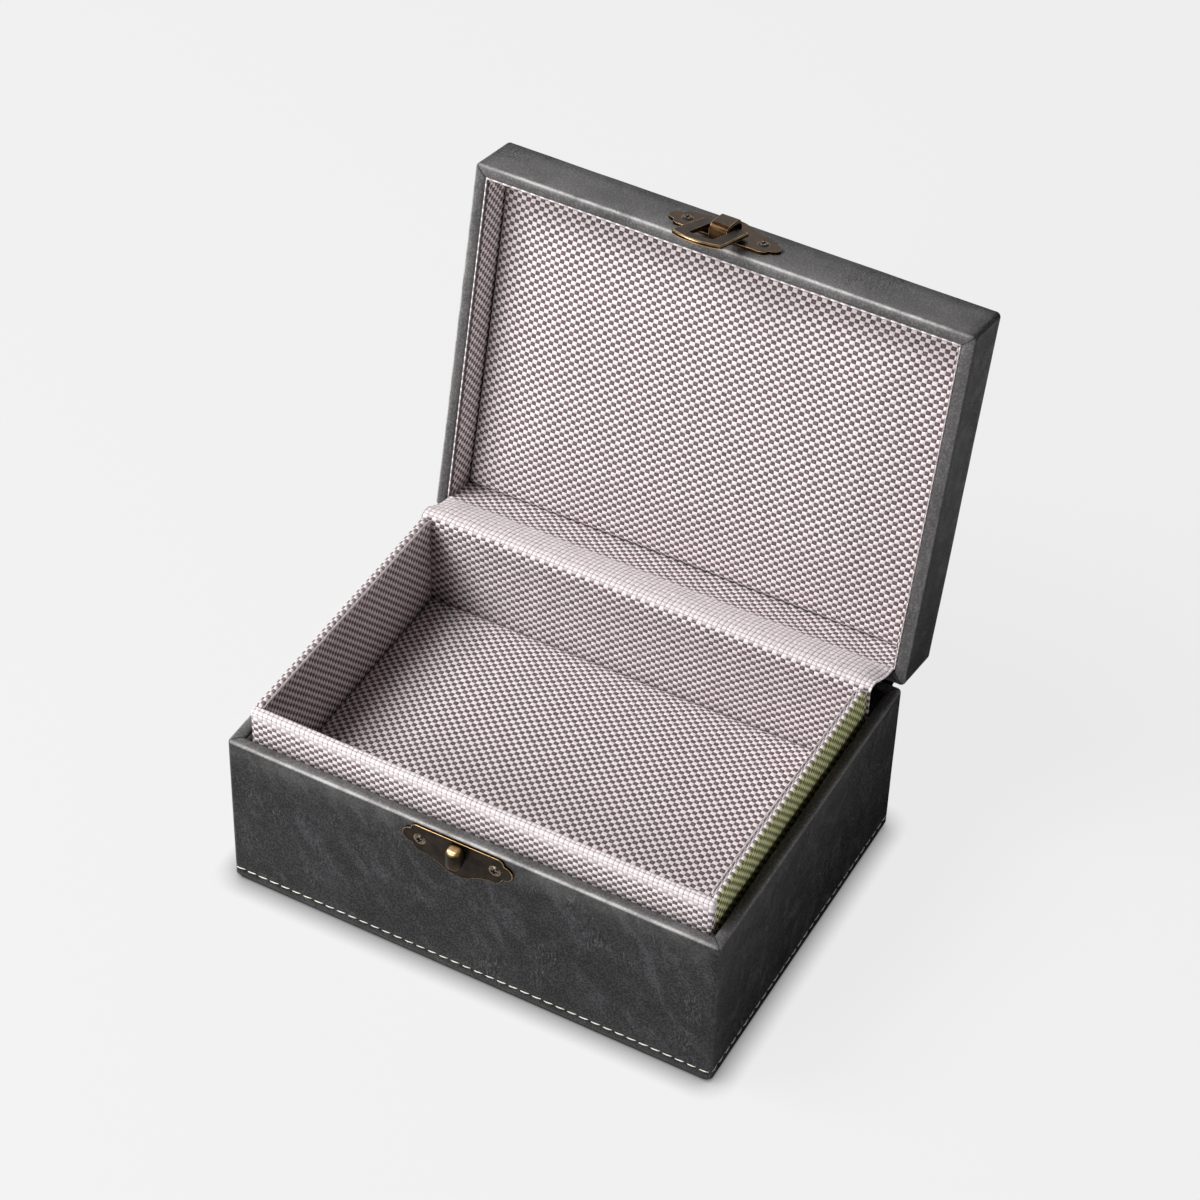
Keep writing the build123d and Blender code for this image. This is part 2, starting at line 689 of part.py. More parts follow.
# The post is a hook whose nose points down. All of it stays inside the circle that the end of
# the loop's slot swings on when the lid is shut.
swing_centre_drop = -(loop_pivot_rise + catch_drop)
swing_radius = loop_slot_end - post_bottom_clear
nose_out = post_reach - nose_back
nose_drop = swing_centre_drop + math.sqrt(
    swing_radius**2 - (nose_out - loop_pivot_out) ** 2
)
with BuildPart() as catch_post:
    with BuildSketch(catch_side):
        with BuildLine():
            Line((plate, post_top_drop), (post_reach - post_bend, post_top_drop))
            RadiusArc(
                (post_reach - post_bend, post_top_drop),
                (post_reach, post_top_drop + post_bend),
                -post_bend,
            )
            Line(
                (post_reach, post_top_drop + post_bend),
                (post_reach, nose_drop - nose_rise),
            )
            ThreePointArc(
                (post_reach, nose_drop - nose_rise),
                (post_reach - nose_cheek[0], nose_drop - nose_cheek[1]),
                (nose_out, nose_drop),
            )
            ThreePointArc(
                (nose_out, nose_drop),
                (plate + throat_middle[0], nose_drop - throat_middle[1]),
                (plate, nose_drop - throat_rise),
            )
            Line((plate, nose_drop - throat_rise), (plate, post_top_drop))
        make_face()
    extrude(amount=post_width / 2, both=True)
    with BuildSketch(catch_plane):
        with BuildLine():
            Line((-post_root / 2, post_top_drop), (post_root / 2, post_top_drop))
            ThreePointArc(
                (post_root / 2, post_top_drop),
                (post_width / 2 - swell_ease, post_top_drop + post_swell / 2),
                (post_width / 2, post_top_drop + post_swell),
            )
            ThreePointArc(
                (post_width / 2, post_top_drop + post_swell),
                (0, nose_drop + post_bulge),
                (-post_width / 2, post_top_drop + post_swell),
            )
            ThreePointArc(
                (-post_width / 2, post_top_drop + post_swell),
                (-post_width / 2 + swell_ease, post_top_drop + post_swell / 2),
                (-post_root / 2, post_top_drop),
            )
        make_face()
    extrude(amount=2 * post_reach, mode=Mode.INTERSECT)
    # seen from above it is rounded like a fingertip
    with BuildSketch(Plane((latch_offset, -half_depth, base_height))):
        with BuildLine():
            Polyline(
                (-post_width / 2, -post_shoulder),
                (-post_width / 2, 0),
                (post_width / 2, 0),
                (post_width / 2, -post_shoulder),
            )
            ThreePointArc(
                (post_width / 2, -post_shoulder),
                (0, -post_reach - post_crest),
                (-post_width / 2, -post_shoulder),
            )
        make_face()
    extrude(amount=-base_height, mode=Mode.INTERSECT)
    with BuildSketch(catch_plane):
        with Locations((0, rivet_drop)):
            Circle(rivet / 2)
    extrude(amount=plate)
finish(catch_post, "catch_post")

# ================= latch: hasp plate on the lid =================
beak_start = -beak_lip
beak_stop = beak_start + beak_reach


def beak_outline(inset):
    # side view of the folded strip, drawn in by an inset; the foot stays on the lid
    low = beak_start + inset
    high = beak_stop - inset
    top = beak_height - inset
    foot = plate if inset else 0
    nose = beak_nose - inset * bend_share
    heel = min(beak_heel - inset * bend_share, top - foot - bend_land)
    with BuildSketch() as outline:
        with BuildLine():
            Line((low, foot), (low, top - nose))
            RadiusArc((low, top - nose), (low + nose, top), nose)
            Line((low + nose, top), (high - heel, top))
            RadiusArc((high - heel, top), (high, top - heel), heel)
            Line((high, top - heel), (high, foot))
            Line((high, foot), (low, foot))
        make_face()
    return outline.sketch


with BuildPart() as beak:
    with BuildSketch(hasp_side):
        add(beak_outline(0))
    extrude(amount=beak_width / 2, both=True)
    beak_sides = beak.faces().filter_by(Axis.X)
    beak_arris = [
        edge
        for face in beak_sides
        for edge in face.edges()
        if hasp_side.to_local_coords(edge.center()).Y > plate
    ]
    chamfer(beak_arris, length=beak_edge)
    with BuildSketch(hasp_side):
        add(beak_outline(beak_sheet))
    extrude(amount=beak_width, both=True, mode=Mode.SUBTRACT)

with BuildPart() as hasp_plate:
    with BuildSketch(hasp_plane):
        add(latch_blank())
    extrude(amount=plate)
    add(hasp_holes.part, mode=Mode.SUBTRACT)
    add(beak.part)
finish(hasp_plate, "hasp_plate")

# ================= latch: swinging loop =================
loop_half = loop_slot_half + loop_arm
with BuildPart() as hasp_loop:
    with BuildSketch(loop_plane):
        with BuildLine():
            Line((-loop_half, loop_bar / 2), (loop_half, loop_bar / 2))
            Line(
                (loop_half, loop_bar / 2), (loop_half + loop_flare, -loop_end + loop_bow)
            )
            ThreePointArc(
                (loop_half + loop_flare, -loop_end + loop_bow),
                (0, -loop_end),
                (-loop_half - loop_flare, -loop_end + loop_bow),
            )
            Line(
                (-loop_half - loop_flare, -loop_end + loop_bow), (-loop_half, loop_bar / 2)
            )
        outline = make_face()
        fillet(outline.vertices().group_by(Axis.Y)[0], radius=loop_corner)
        with Locations((0, (-loop_bar / 2 - loop_slot_end) / 2)):
            RectangleRounded(
                2 * loop_slot_half,
                loop_slot_end - loop_bar / 2,
                loop_slot_corner,
                mode=Mode.SUBTRACT,
            )
    extrude(amount=loop_sheet / 2, both=True)
    loop_axis = Axis((0, 0, 0), loop_plane.z_dir)
    for loop_face in (
        hasp_loop.faces().sort_by(loop_axis)[0],
        hasp_loop.faces().sort_by(loop_axis)[-1],
    ):
        chamfer(loop_face.outer_wire().edges(), length=loop_edge)
finish(hasp_loop, "hasp_loop")
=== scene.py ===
import math

import bmesh
import bpy
from mathutils import Matrix, Vector


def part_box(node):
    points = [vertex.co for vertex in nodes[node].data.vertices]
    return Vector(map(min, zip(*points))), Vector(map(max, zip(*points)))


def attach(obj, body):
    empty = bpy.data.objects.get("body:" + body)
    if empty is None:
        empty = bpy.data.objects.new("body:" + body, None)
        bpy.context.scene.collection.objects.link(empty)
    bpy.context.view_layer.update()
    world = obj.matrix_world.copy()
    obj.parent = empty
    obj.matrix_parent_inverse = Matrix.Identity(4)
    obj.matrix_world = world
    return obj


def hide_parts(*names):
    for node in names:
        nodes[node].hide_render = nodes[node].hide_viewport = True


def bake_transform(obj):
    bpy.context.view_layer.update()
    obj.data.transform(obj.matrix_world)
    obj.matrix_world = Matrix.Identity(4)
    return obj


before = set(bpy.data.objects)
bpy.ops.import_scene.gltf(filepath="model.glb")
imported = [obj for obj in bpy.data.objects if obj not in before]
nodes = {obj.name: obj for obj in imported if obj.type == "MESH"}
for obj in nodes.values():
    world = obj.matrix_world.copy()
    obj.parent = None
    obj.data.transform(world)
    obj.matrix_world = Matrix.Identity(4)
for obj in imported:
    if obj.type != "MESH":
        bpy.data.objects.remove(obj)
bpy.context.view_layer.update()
mm = 0.001


# small helpers

def deselect():
    bpy.ops.object.select_all(action="DESELECT")


def activate(piece):
    deselect()
    piece.select_set(True)
    bpy.context.view_layer.objects.active = piece


def nameActive(name):
    piece = bpy.context.active_object
    piece.name = name
    piece.data.name = name
    return piece


def applyModifiers(piece):
    activate(piece)
    for modifier in list(piece.modifiers):
        bpy.ops.object.modifier_apply(modifier=modifier.name)


def settle(piece, place=None):
    # puts the place into the mesh, so that the object itself stands at the origin
    if place is not None:
        piece.matrix_world = place @ piece.matrix_world
    activate(piece)
    bpy.ops.object.transform_apply(location=True, rotation=True, scale=True)


def pickEdges(piece, rule):
    # in edit mode: selects the edges that the rule says, by their two ends
    mesh = bmesh.from_edit_mesh(piece.data)
    for item in list(mesh.verts) + list(mesh.faces):
        item.select = False
    for edge in mesh.edges:
        edge.select = bool(rule(edge.verts[0].co, edge.verts[1].co))
    bmesh.update_edit_mesh(piece.data)


def smooth(piece, angle):
    activate(piece)
    bpy.ops.object.shade_smooth_by_angle(angle=math.radians(angle))


def markPoints(piece, name, rule):
    # a number from 0 to 1 at each point, for the material
    layer = piece.data.attributes.new(name, "FLOAT", "POINT")
    for vertex in piece.data.vertices:
        layer.data[vertex.index].value = min(1, max(0, rule(vertex.co)))


# sizes of the box, the outer ones from the frame

baseLow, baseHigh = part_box("base_wrap")
boxSize = {
    "halfX": baseHigh.x,
    "halfY": baseHigh.y,
    "baseHeight": baseHigh.z,
    "lidHeight": 17 * mm,
    "openAngle": 102,  # how far the lid stands open
    "corner": 1.3 * mm,
    "wall": 3.2 * mm,
    "leather": 0.5 * mm,
    "cover": baseLow.z,  # the bottom panel, on which the base's skin ends
    "rimGap": 0.2 * mm,
}
hingeLine = Vector((0, boxSize["halfY"], boxSize["baseHeight"]))
# pieces of the lid are modelled shut, with the hinge as origin, then turned open
lidPlace = Matrix.Translation(hingeLine) @ Matrix.Rotation(-math.radians(boxSize["openAngle"]), 4, "X")


def lidSpot(x, back, rise):
    return lidPlace @ Vector((x, -back, rise))


# materials

# settings that many nodes share
smoothly = {"interpolation_type": "SMOOTHSTEP"}
asColour = {"data_type": "RGBA"}
plus = {"operation": "ADD"}
minus = {"operation": "SUBTRACT"}
times = {"operation": "MULTIPLY"}
timesPlus = {"operation": "MULTIPLY_ADD"}
dividedBy = {"operation": "DIVIDE"}
sizeOf = {"operation": "ABSOLUTE"}


def colour(hexCode):
    # an sRGB hex value as the linear colour that the shaders want
    parts = [int(hexCode[i:i + 2], 16) / 255 for i in (1, 3, 5)]
    return tuple(c / 12.92 if c <= 0.04045 else ((c + 0.055) / 1.055) ** 2.4 for c in parts) + (1.0,)


def plug(tree, node, inputs):
    # gives each socket, by name or number, its link or its value
    for name, value in inputs.items():
        if isinstance(value, bpy.types.NodeSocket):
            tree.links.new(value, node.inputs[name])
        else:
            node.inputs[name].default_value = value


def addNode(tree, kind, settings=None, inputs=None):
    # adds one node with its settings and links, and hands back its outputs
    node = tree.nodes.new("ShaderNode" + kind)
    for name, value in (settings or {}).items():
        setattr(node, name, value)
    plug(tree, node, inputs or {})
    return node.outputs


def newMaterial(name):
    material = bpy.data.materials.new(name)
    material.use_nodes = True
    tree = material.node_tree
    return material, tree, tree.nodes["Principled BSDF"]


def inMillimetres(tree):
    place = addNode(tree, "TexCoord")["Object"]
    return addNode(tree, "Mapping", None, {"Vector": place, "Scale": (1000, 1000, 1000)})[0]


def layered(tree, look, tone, coats):
    # colours laid one over the other: each coat says its colour and how far it covers
    for finish, cover in coats:
        tone = addNode(tree, "Mix", asColour, {0: cover, 6: tone, 7: colour(look[finish])})[2]
    return tone


def unevenly(tree, amount, parts):
    # an amount that varies with one noise after another, each from its least to its most
    for noise, start, stop, least, most in parts:
        varied = addNode(tree, "MapRange", smoothly, {0: noise, 1: start, 2: stop, 3: least, 4: most})[0]
        amount = addNode(tree, "Math", times, {0: amount, 1: varied})[0]
    return amount


leatherLook = {
    "dark": "#101012",
    "middle": "#1f1f21",
    "light": "#474649",
    "pale": "#8f8c8c",  # worn rims, and painted sheen on the rims and the lid's front
    "rubbedAndHighlit": "#f4f2ef",  # worn arrises, with a painted highlight along them
    "creasePale": "#5c5b5e",
    "pitAndCreaseShade": "#0c0c0d",  # between the pebbles, and painted shade beside a crease
    "foot": "#0a0a0b",
    "cut": "#131213",  # the skin's cut edges at a rim's corner
    "warpSize": 11,  # millimetres between the bends of the cloudy pattern
    "cloudSize": 16,  # across one cloudy patch
    "mottleSize": 4.5,
    "streak": (4, 4, 17),  # width and length of a soft pale streak
    "crease": (0.7, 0.7, 5.5),  # the same of a crease
    "creasePatch": 13,
    "creaseDepth": 0.16,
    "grainSize": 0.6,  # one pebble, a little coarser than the real 0.4 mm so that it shows
    "grainDepth": 0.08,
    "mitre": 0.13,  # half the width of the fold line at a rim's corner
    "lidWearAndSheen": 0.42,  # how much paler the lid's front is, from wear and painted sheen
}


def leatherMaterial(name, look, paleWearAndSheen=0.0, mitred=False):
    # polyurethane leather, embossed and rubbed: cloudy greys, soft streaks, fine pebbles, creases with
    # painted shade on one side, arrises worn pale with a painted highlight, rims and lid front paler by wear
    # and painted sheen
    material, tree, shader = newMaterial(name)
    place = addNode(tree, "Attribute", {"attribute_name": "flat"})["Vector"]
    warp = addNode(tree, "TexNoise", None, {
        "Vector": place, "Scale": 1 / look["warpSize"], "Detail": 2})["Color"]
    bent = addNode(tree, "VectorMath", timesPlus, {0: warp, 1: (7, 7, 7), 2: place})[0]
    swayed = addNode(tree, "VectorMath", timesPlus, {0: warp, 1: (5, 5, 1), 2: place})[0]
    slanted = addNode(tree, "Mapping", None, {"Vector": bent, "Rotation": (0.3, 0.55, 0.3)})[0]
    streakPlace = addNode(tree, "VectorMath", dividedBy, {0: slanted, 1: look["streak"]})[0]
    creasePlace = addNode(tree, "VectorMath", dividedBy, {0: swayed, 1: look["crease"]})[0]
    noises = []
    for vector, width, detail, roughness, distortion in (
            (bent, look["cloudSize"], 4, 0.55, 0.0),
            (bent, look["mottleSize"], 5, 0.6, 0.0),
            (streakPlace, 1, 3, 0.5, 0.0),
            (creasePlace, 1, 2, 0.5, 0.5),
            (place, look["creasePatch"], 2, 0.55, 0.0)):
        noises.append(addNode(tree, "TexNoise", None, {
            "Vector": vector, "Scale": 1 / width, "Detail": detail,
            "Roughness": roughness, "Distortion": distortion})["Fac"])
    cloud, mottle, streak, creaseNoise, patchNoise = noises

    cloudy = addNode(tree, "MapRange", smoothly, {0: cloud, 1: 0.4, 2: 0.58})[0]
    mottled = addNode(tree, "MapRange", smoothly, {0: mottle, 1: 0.4, 2: 0.8, 4: 0.4})[0]
    streaked = addNode(tree, "MapRange", smoothly, {0: streak, 1: 0.48, 2: 0.72, 4: 0.55})[0]
    # creases: thin lines where a stretched noise crosses its middle, only in patches, each with
    # a painted shade on one side
    patch = addNode(tree, "MapRange", smoothly, {0: patchNoise, 1: 0.53, 2: 0.65})[0]
    past = addNode(tree, "Math", minus, {0: creaseNoise, 1: 0.5})[0]
    crossing = addNode(tree, "Math", sizeOf, {0: past})[0]
    line = addNode(tree, "MapRange", smoothly, {0: crossing, 1: 0.0, 2: 0.05, 3: 1.0, 4: 0.0})[0]
    crease = addNode(tree, "Math", times, {0: line, 1: patch})[0]
    creased = addNode(tree, "Math", times, {0: crease, 1: 0.8})[0]
    beside = addNode(tree, "MapRange", smoothly, {0: past, 1: 0.03, 2: 0.1, 4: 0.8})[0]
    shaded = addNode(tree, "Math", times, {0: beside, 1: patch})[0]
    pebble = addNode(tree, "TexVoronoi", {"feature": "SMOOTH_F1"}, {
        "Vector": place, "Scale": 1 / look["grainSize"], "Smoothness": 0.6})["Distance"]
    pebbleTop = addNode(tree, "MapRange", smoothly, {0: pebble, 1: 0.15, 2: 0.6, 3: 1.0, 4: 0.0})[0]
    pitted = addNode(tree, "MapRange", smoothly, {0: pebble, 1: 0.35, 2: 0.75, 4: 0.55})[0]
    topped = addNode(tree, "Math", times, {0: pebbleTop, 1: 0.07})[0]
    # the wear and painted sheen are a little stronger on the tops of the pebbles
    onLid = addNode(tree, "Attribute", {"attribute_name": "lidWearAndSheen"})["Fac"]
    wearAndSheen = addNode(tree, "Math", times, {0: onLid, 1: look["lidWearAndSheen"]})[0]
    wearAndSheen = addNode(tree, "Math", {"operation": "MAXIMUM"}, {0: wearAndSheen, 1: paleWearAndSheen})[0]
    wearAndSheen = unevenly(tree, wearAndSheen, ((cloud, 0.35, 0.65, 0.8, 1.12), (pebbleTop, 0.0, 1.0, 0.74, 1.14)))
    # the arris mark: wear, and a painted highlight along each rounded edge
    arris = addNode(tree, "Attribute", {"attribute_name": "arris"})["Fac"]
    wornAndHighlit = unevenly(tree, arris, ((mottle, 0.3, 0.62, 0.5, 1.1), (pebbleTop, 0.0, 1.0, 0.85, 1.0)))
    # darker towards the foot
    axes = addNode(tree, "SeparateXYZ", None, {0: place})
    low = addNode(tree, "MapRange", smoothly, {0: axes[2], 1: 0.8, 2: 3.4, 3: 0.6, 4: 0.0})[0]
    coats = [("middle", cloudy), ("light", mottled), ("light", streaked), ("creasePale", creased),
             ("pitAndCreaseShade", shaded), ("pitAndCreaseShade", pitted), ("pale", topped), ("pale", wearAndSheen), ("foot", low),
             ("rubbedAndHighlit", wornAndHighlit)]
    if mitred:
        # the cut edges of the skin meet in a dark line across each corner of the rim
        inwards = []
        for axis, half in ((0, boxSize["halfX"]), (1, boxSize["halfY"])):
            reach = addNode(tree, "Math", sizeOf, {0: axes[axis]})[0]
            inwards.append(addNode(tree, "Math", minus, {0: half / mm, 1: reach})[0])
        off = addNode(tree, "Math", minus, {0: inwards[0], 1: inwards[1]})[0]
        off = addNode(tree, "Math", sizeOf, {0: off})[0]
        cut = addNode(tree, "MapRange", smoothly, {
            0: off, 1: look["mitre"] * 0.5, 2: look["mitre"] * 1.5, 3: 0.9, 4: 0.0})[0]
        coats.append(("cut", cut))

    creaseBump = addNode(tree, "Bump", None, {
        "Height": crease, "Strength": 0.9, "Distance": look["creaseDepth"] * mm})[0]
    grainBump = addNode(tree, "Bump", None, {
        "Height": pebbleTop, "Strength": 0.6, "Distance": look["grainDepth"] * mm, "Normal": creaseBump})[0]
    roughness = addNode(tree, "MapRange", smoothly, {0: mottle, 1: 0.3, 2: 0.75, 3: 0.4, 4: 0.56})[0]
    plug(tree, shader, {
        "Base Color": layered(tree, look, colour(look["dark"]), coats), "Normal": grainBump,
        "Roughness": roughness, "IOR": 1.46, "Specular IOR Level": 0.2})
    return material


weaveLook = {
    "white": "#fbf2f3",
    "whiteShade": "#d5c7c9",
    "dark": "#8a7779",
    "darkShade": "#574649",
    "opened": "#f6edef",  # a dark check where the cloth is bent and its white yarns open over it
    "outline": "#988689",  # round each check there
    # between the yarns, and painted shade in a fold
    "gapAndFoldShade": "#2f2525",
    # painted light: the green of light spilled from the surroundings
    "paintedSpillGreen": "#e2f2a0",
    "wide": 1.33,  # millimetres, one check along the weft
    "tall": 1.17,  # and along the warp
    "yarn": 0.42,  # one yarn inside a check
    "fleckSize": 1.9,
    "cushionDepth": 0.26,
}


def weaveMaterial(name, look):
    # basket-woven polyester: white yarns over mauve-brown ones, raised in small cushions; the
    # dark yarns close up where the cloth is bent over an edge
    material, tree, shader = newMaterial(name)
    source = addNode(tree, "UVMap", {"uv_map": "weave"})["UV"]
    jitter = addNode(tree, "TexNoise", None, {"Vector": source, "Scale": 0.45, "Detail": 3})["Color"]
    place = addNode(tree, "VectorMath", timesPlus, {0: jitter, 1: (0.4, 0.4, 0), 2: source})[0]
    axes = addNode(tree, "SeparateXYZ", None, {0: place})
    waves = []
    for axis, length in ((0, 2 * look["wide"]), (1, 2 * look["tall"]), (0, look["yarn"]), (1, look["yarn"])):
        turn = addNode(tree, "Math", times, {0: axes[axis], 1: 2 * math.pi / length})[0]
        waves.append(addNode(tree, "Math", {"operation": "SINE"}, {0: turn})[0])
    acrossCheck, alongCheck, acrossYarn, alongYarn = waves
    over = addNode(tree, "Math", times, {0: acrossCheck, 1: alongCheck})[0]
    fromEdge = addNode(tree, "Math", sizeOf, {0: over})[0]
    bend = addNode(tree, "Attribute", {"attribute_name": "overBend"})["Fac"]
    opened = addNode(tree, "Math", timesPlus, {0: bend, 1: 0.22, 2: over})[0]
    isDark = addNode(tree, "MapRange", smoothly, {0: opened, 1: 0.03, 2: -0.14})[0]
    cushion = addNode(tree, "Math", {"operation": "POWER"}, {0: fromEdge, 1: 0.6})[0]
    ridge = addNode(tree, "Mix", {"data_type": "FLOAT"}, {0: isDark, 2: acrossYarn, 3: alongYarn})[0]
    fleck = addNode(tree, "TexNoise", None, {
        "Vector": place, "Scale": 1 / look["fleckSize"], "Detail": 3, "Roughness": 0.7})["Fac"]

    # each check is paler at its crown and darker at its edge, following its raised cushion: painted highlight
    # and shade, with the dark yarns' pink mixing in at the edges too
    raised = addNode(tree, "MapRange", smoothly, {0: cushion, 1: 0.05, 2: 0.42})[0]
    core = addNode(tree, "MapRange", smoothly, {0: cushion, 1: 0.45, 2: 0.95})[0]
    core = unevenly(tree, core, ((fleck, 0.3, 0.65, 0.3, 1.0),))
    stretched = addNode(tree, "Math", times, {0: bend, 1: 0.95})[0]
    whiteTone = layered(tree, look, colour(look["whiteShade"]), (("white", raised),))
    darkTone = layered(tree, look, colour(look["darkShade"]), (("dark", core), ("opened", stretched)))
    tone = addNode(tree, "Mix", asColour, {0: isDark, 6: whiteTone, 7: darkTone})[2]
    outline = unevenly(tree, bend, ((fromEdge, 0.0, 0.3, 0.72, 0.0),))
    hollow = addNode(tree, "MapRange", smoothly, {0: ridge, 1: -1.0, 2: 0.3, 3: 0.14, 4: 0.0})[0]
    tone = layered(tree, look, tone, (("outline", outline), ("gapAndFoldShade", hollow)))
    # painted light: the shaded right face is tinted by green spill
    spill = addNode(tree, "Attribute", {"attribute_name": "spill"})["Fac"]
    spill = addNode(tree, "Math", times, {0: spill, 1: 0.9})[0]
    tone = addNode(tree, "Mix", {"data_type": "RGBA", "blend_type": "MULTIPLY"},
                   {0: spill, 6: tone, 7: colour(look["paintedSpillGreen"])})[2]
    # painted shade along a groove and along a card's inner edge
    foldShade = addNode(tree, "Attribute", {"attribute_name": "foldShade"})["Fac"]
    foldShade = addNode(tree, "Math", times, {0: foldShade, 1: 0.85})[0]
    height = addNode(tree, "Math", timesPlus, {0: ridge, 1: 0.1, 2: cushion})[0]
    bump = addNode(tree, "Bump", None, {
        "Height": height, "Strength": 0.8, "Distance": look["cushionDepth"] * mm})[0]
    plug(tree, shader, {
        "Base Color": layered(tree, look, tone, (("gapAndFoldShade", foldShade),)), "Normal": bump, "Roughness": 0.8,
        "Sheen Weight": 0.15, "Sheen Roughness": 0.5, "Specular IOR Level": 0.2})
    return material


bronzeLook = {
    "deep": "#2c2014",
    "brown": "#4f3a25",
    "gold": "#eac797",
    "rubbedAndHighlit": 0.0,  # how far it is bare gold all over, as wear and as painted highlight
    "patinaSize": 2.6,
    "speckSize": 0.5,
    "speckDepth": 0.02,
}
# painted shade: a darker copy of the bronze for the catch and its hook
shadedCatchLook = dict(bronzeLook, deep="#17130f", brown="#33291f", gold="#ecc48c")


def bronzeMaterial(name, look):
    # brass, blackened then rubbed: brown faces, bare gold where hands and edges meet, partly a painted
    # highlight
    material, tree, shader = newMaterial(name)
    place = inMillimetres(tree)
    patina = addNode(tree, "TexNoise", None, {
        "Vector": place, "Scale": 1 / look["patinaSize"], "Detail": 5, "Roughness": 0.6})["Fac"]
    speck = addNode(tree, "TexNoise", None, {
        "Vector": place, "Scale": 1 / look["speckSize"], "Detail": 3, "Roughness": 0.6})["Fac"]
    brown = addNode(tree, "MapRange", smoothly, {0: patina, 1: 0.33, 2: 0.75})[0]
    mark = addNode(tree, "Attribute", {"attribute_name": "rubbedAndHighlit"})["Fac"]
    bareAndHighlit = addNode(tree, "Math", plus, {0: mark, 1: look["rubbedAndHighlit"]})[0]
    bareAndHighlit = unevenly(tree, bareAndHighlit, ((patina, 0.25, 0.6, 0.55, 1.0),))
    uneven = addNode(tree, "Math", timesPlus, {0: speck, 1: 0.4, 2: patina})[0]
    dull = addNode(tree, "MapRange", smoothly, {0: uneven, 1: 0.4, 2: 1.0, 3: 0.26, 4: 0.44})[0]
    bump = addNode(tree, "Bump", None, {
        "Height": speck, "Strength": 0.2, "Distance": look["speckDepth"] * mm})[0]
    plug(tree, shader, {
        "Base Color": layered(tree, look, colour(look["deep"]), (("brown", brown), ("gold", bareAndHighlit))),
        "Metallic": 1.0, "Roughness": dull, "Normal": bump})
    return material


def plainMaterial(name, low, high, patch, roughness, metallic=0.0, bumpDepth=0.05):
    # two close tones in patches, with a grain to match
    material, tree, shader = newMaterial(name)
    grain = addNode(tree, "TexNoise", None, {
        "Vector": inMillimetres(tree), "Scale": 1 / patch, "Detail": 6, "Roughness": 0.65})["Fac"]
    mixed = addNode(tree, "MapRange", smoothly, {0: grain, 1: 0.35, 2: 0.68})[0]
    tone = addNode(tree, "Mix", asColour, {0: mixed, 6: colour(low), 7: colour(high)})[2]
    bump = addNode(tree, "Bump", None, {"Height": grain, "Strength": 0.6, "Distance": bumpDepth * mm})[0]
    plug(tree, shader, {
        "Base Color": tone, "Normal": bump, "Roughness": roughness, "Metallic": metallic,
        "Specular IOR Level": 0.4})
    return material


sideLeather = leatherMaterial("rubbedLeather", leatherLook)
# the rims' paler copy of the leather: partly wear, partly painted sheen on faces that look up
rimLeather = leatherMaterial("pebbledRimLeather", leatherLook, paleWearAndSheen=0.42, mitred=True)
weave = weaveMaterial("basketWeave", weaveLook)
bronze = bronzeMaterial("antiqueBronze", bronzeLook)
rubbedHighlitBronze = bronzeMaterial("rubbedHighlitBronzeEdge", dict(bronzeLook, rubbedAndHighlit=0.8))
shadedCatchBronze = bronzeMaterial("catchBronzeShaded", shadedCatchLook)
shadedCatchBronzeEdge = bronzeMaterial("catchBronzeShadedEdge", dict(shadedCatchLook, rubbedAndHighlit=0.75))
# plated screw heads, smooth and dull brown
screwSteel = plainMaterial("bronzePlatedSteel", "#322d27", "#7b7368", 1.0, 0.26, metallic=1.0, bumpDepth=0.01)
# thin artificial leather under the foot, nearly black
undersideLeather = plainMaterial("darkUnderside", "#070708", "#101011", 0.6, 0.55)
# waxed linen, an even warm white
thread = plainMaterial("waxedThread", "#ddd6ca", "#f2ede4", 0.3, 0.6)
# pressed fibre, matt brown with a short fleck
fibreboard = plainMaterial("fibreboard", "#7d6647", "#9a8059", 0.8, 0.85)
# aluminium foil, a dull silver in soft patches
foilMetal = plainMaterial("conductiveFoil", "#a9a9ab", "#d2d2d4", 3.0, 0.35, metallic=1.0)
# cut foam, dark grey and fully matt with open cells
foam = plainMaterial("openFoam", "#38383a", "#57575a", 0.5, 0.95, bumpDepth=0.3)
print("materials made")


def dress(piece, *materials):
    piece.data.materials.clear()
    for material in materials:
        piece.data.materials.append(material)


# leather skins: one rounded outline, raised and drawn in ring by ring

def ringRadius(corner, inset):
    # a ring drawn in by an inset keeps its distance, so its corners get sharper
    return max(corner - inset, 0.25 * mm)


def drawRingIn(piece, halfX, halfY, corner, inset, nextInset):
    # in edit mode: carries the selected ring from one inset to the next
    here, there = ringRadius(corner, inset), ringRadius(corner, nextInset)
    mesh = bmesh.from_edit_mesh(piece.data)
    for vertex in mesh.verts:
        if vertex.select:
            signX, signY = math.copysign(1, vertex.co.x), math.copysign(1, vertex.co.y)
            overX = abs(vertex.co.x) - (halfX - inset - here)
            overY = abs(vertex.co.y) - (halfY - inset - here)
            turn = math.atan2(overY, overX)
            vertex.co.x = signX * (halfX - nextInset - there + there * math.cos(turn))
            vertex.co.y = signY * (halfY - nextInset - there + there * math.sin(turn))
    bmesh.update_edit_mesh(piece.data)


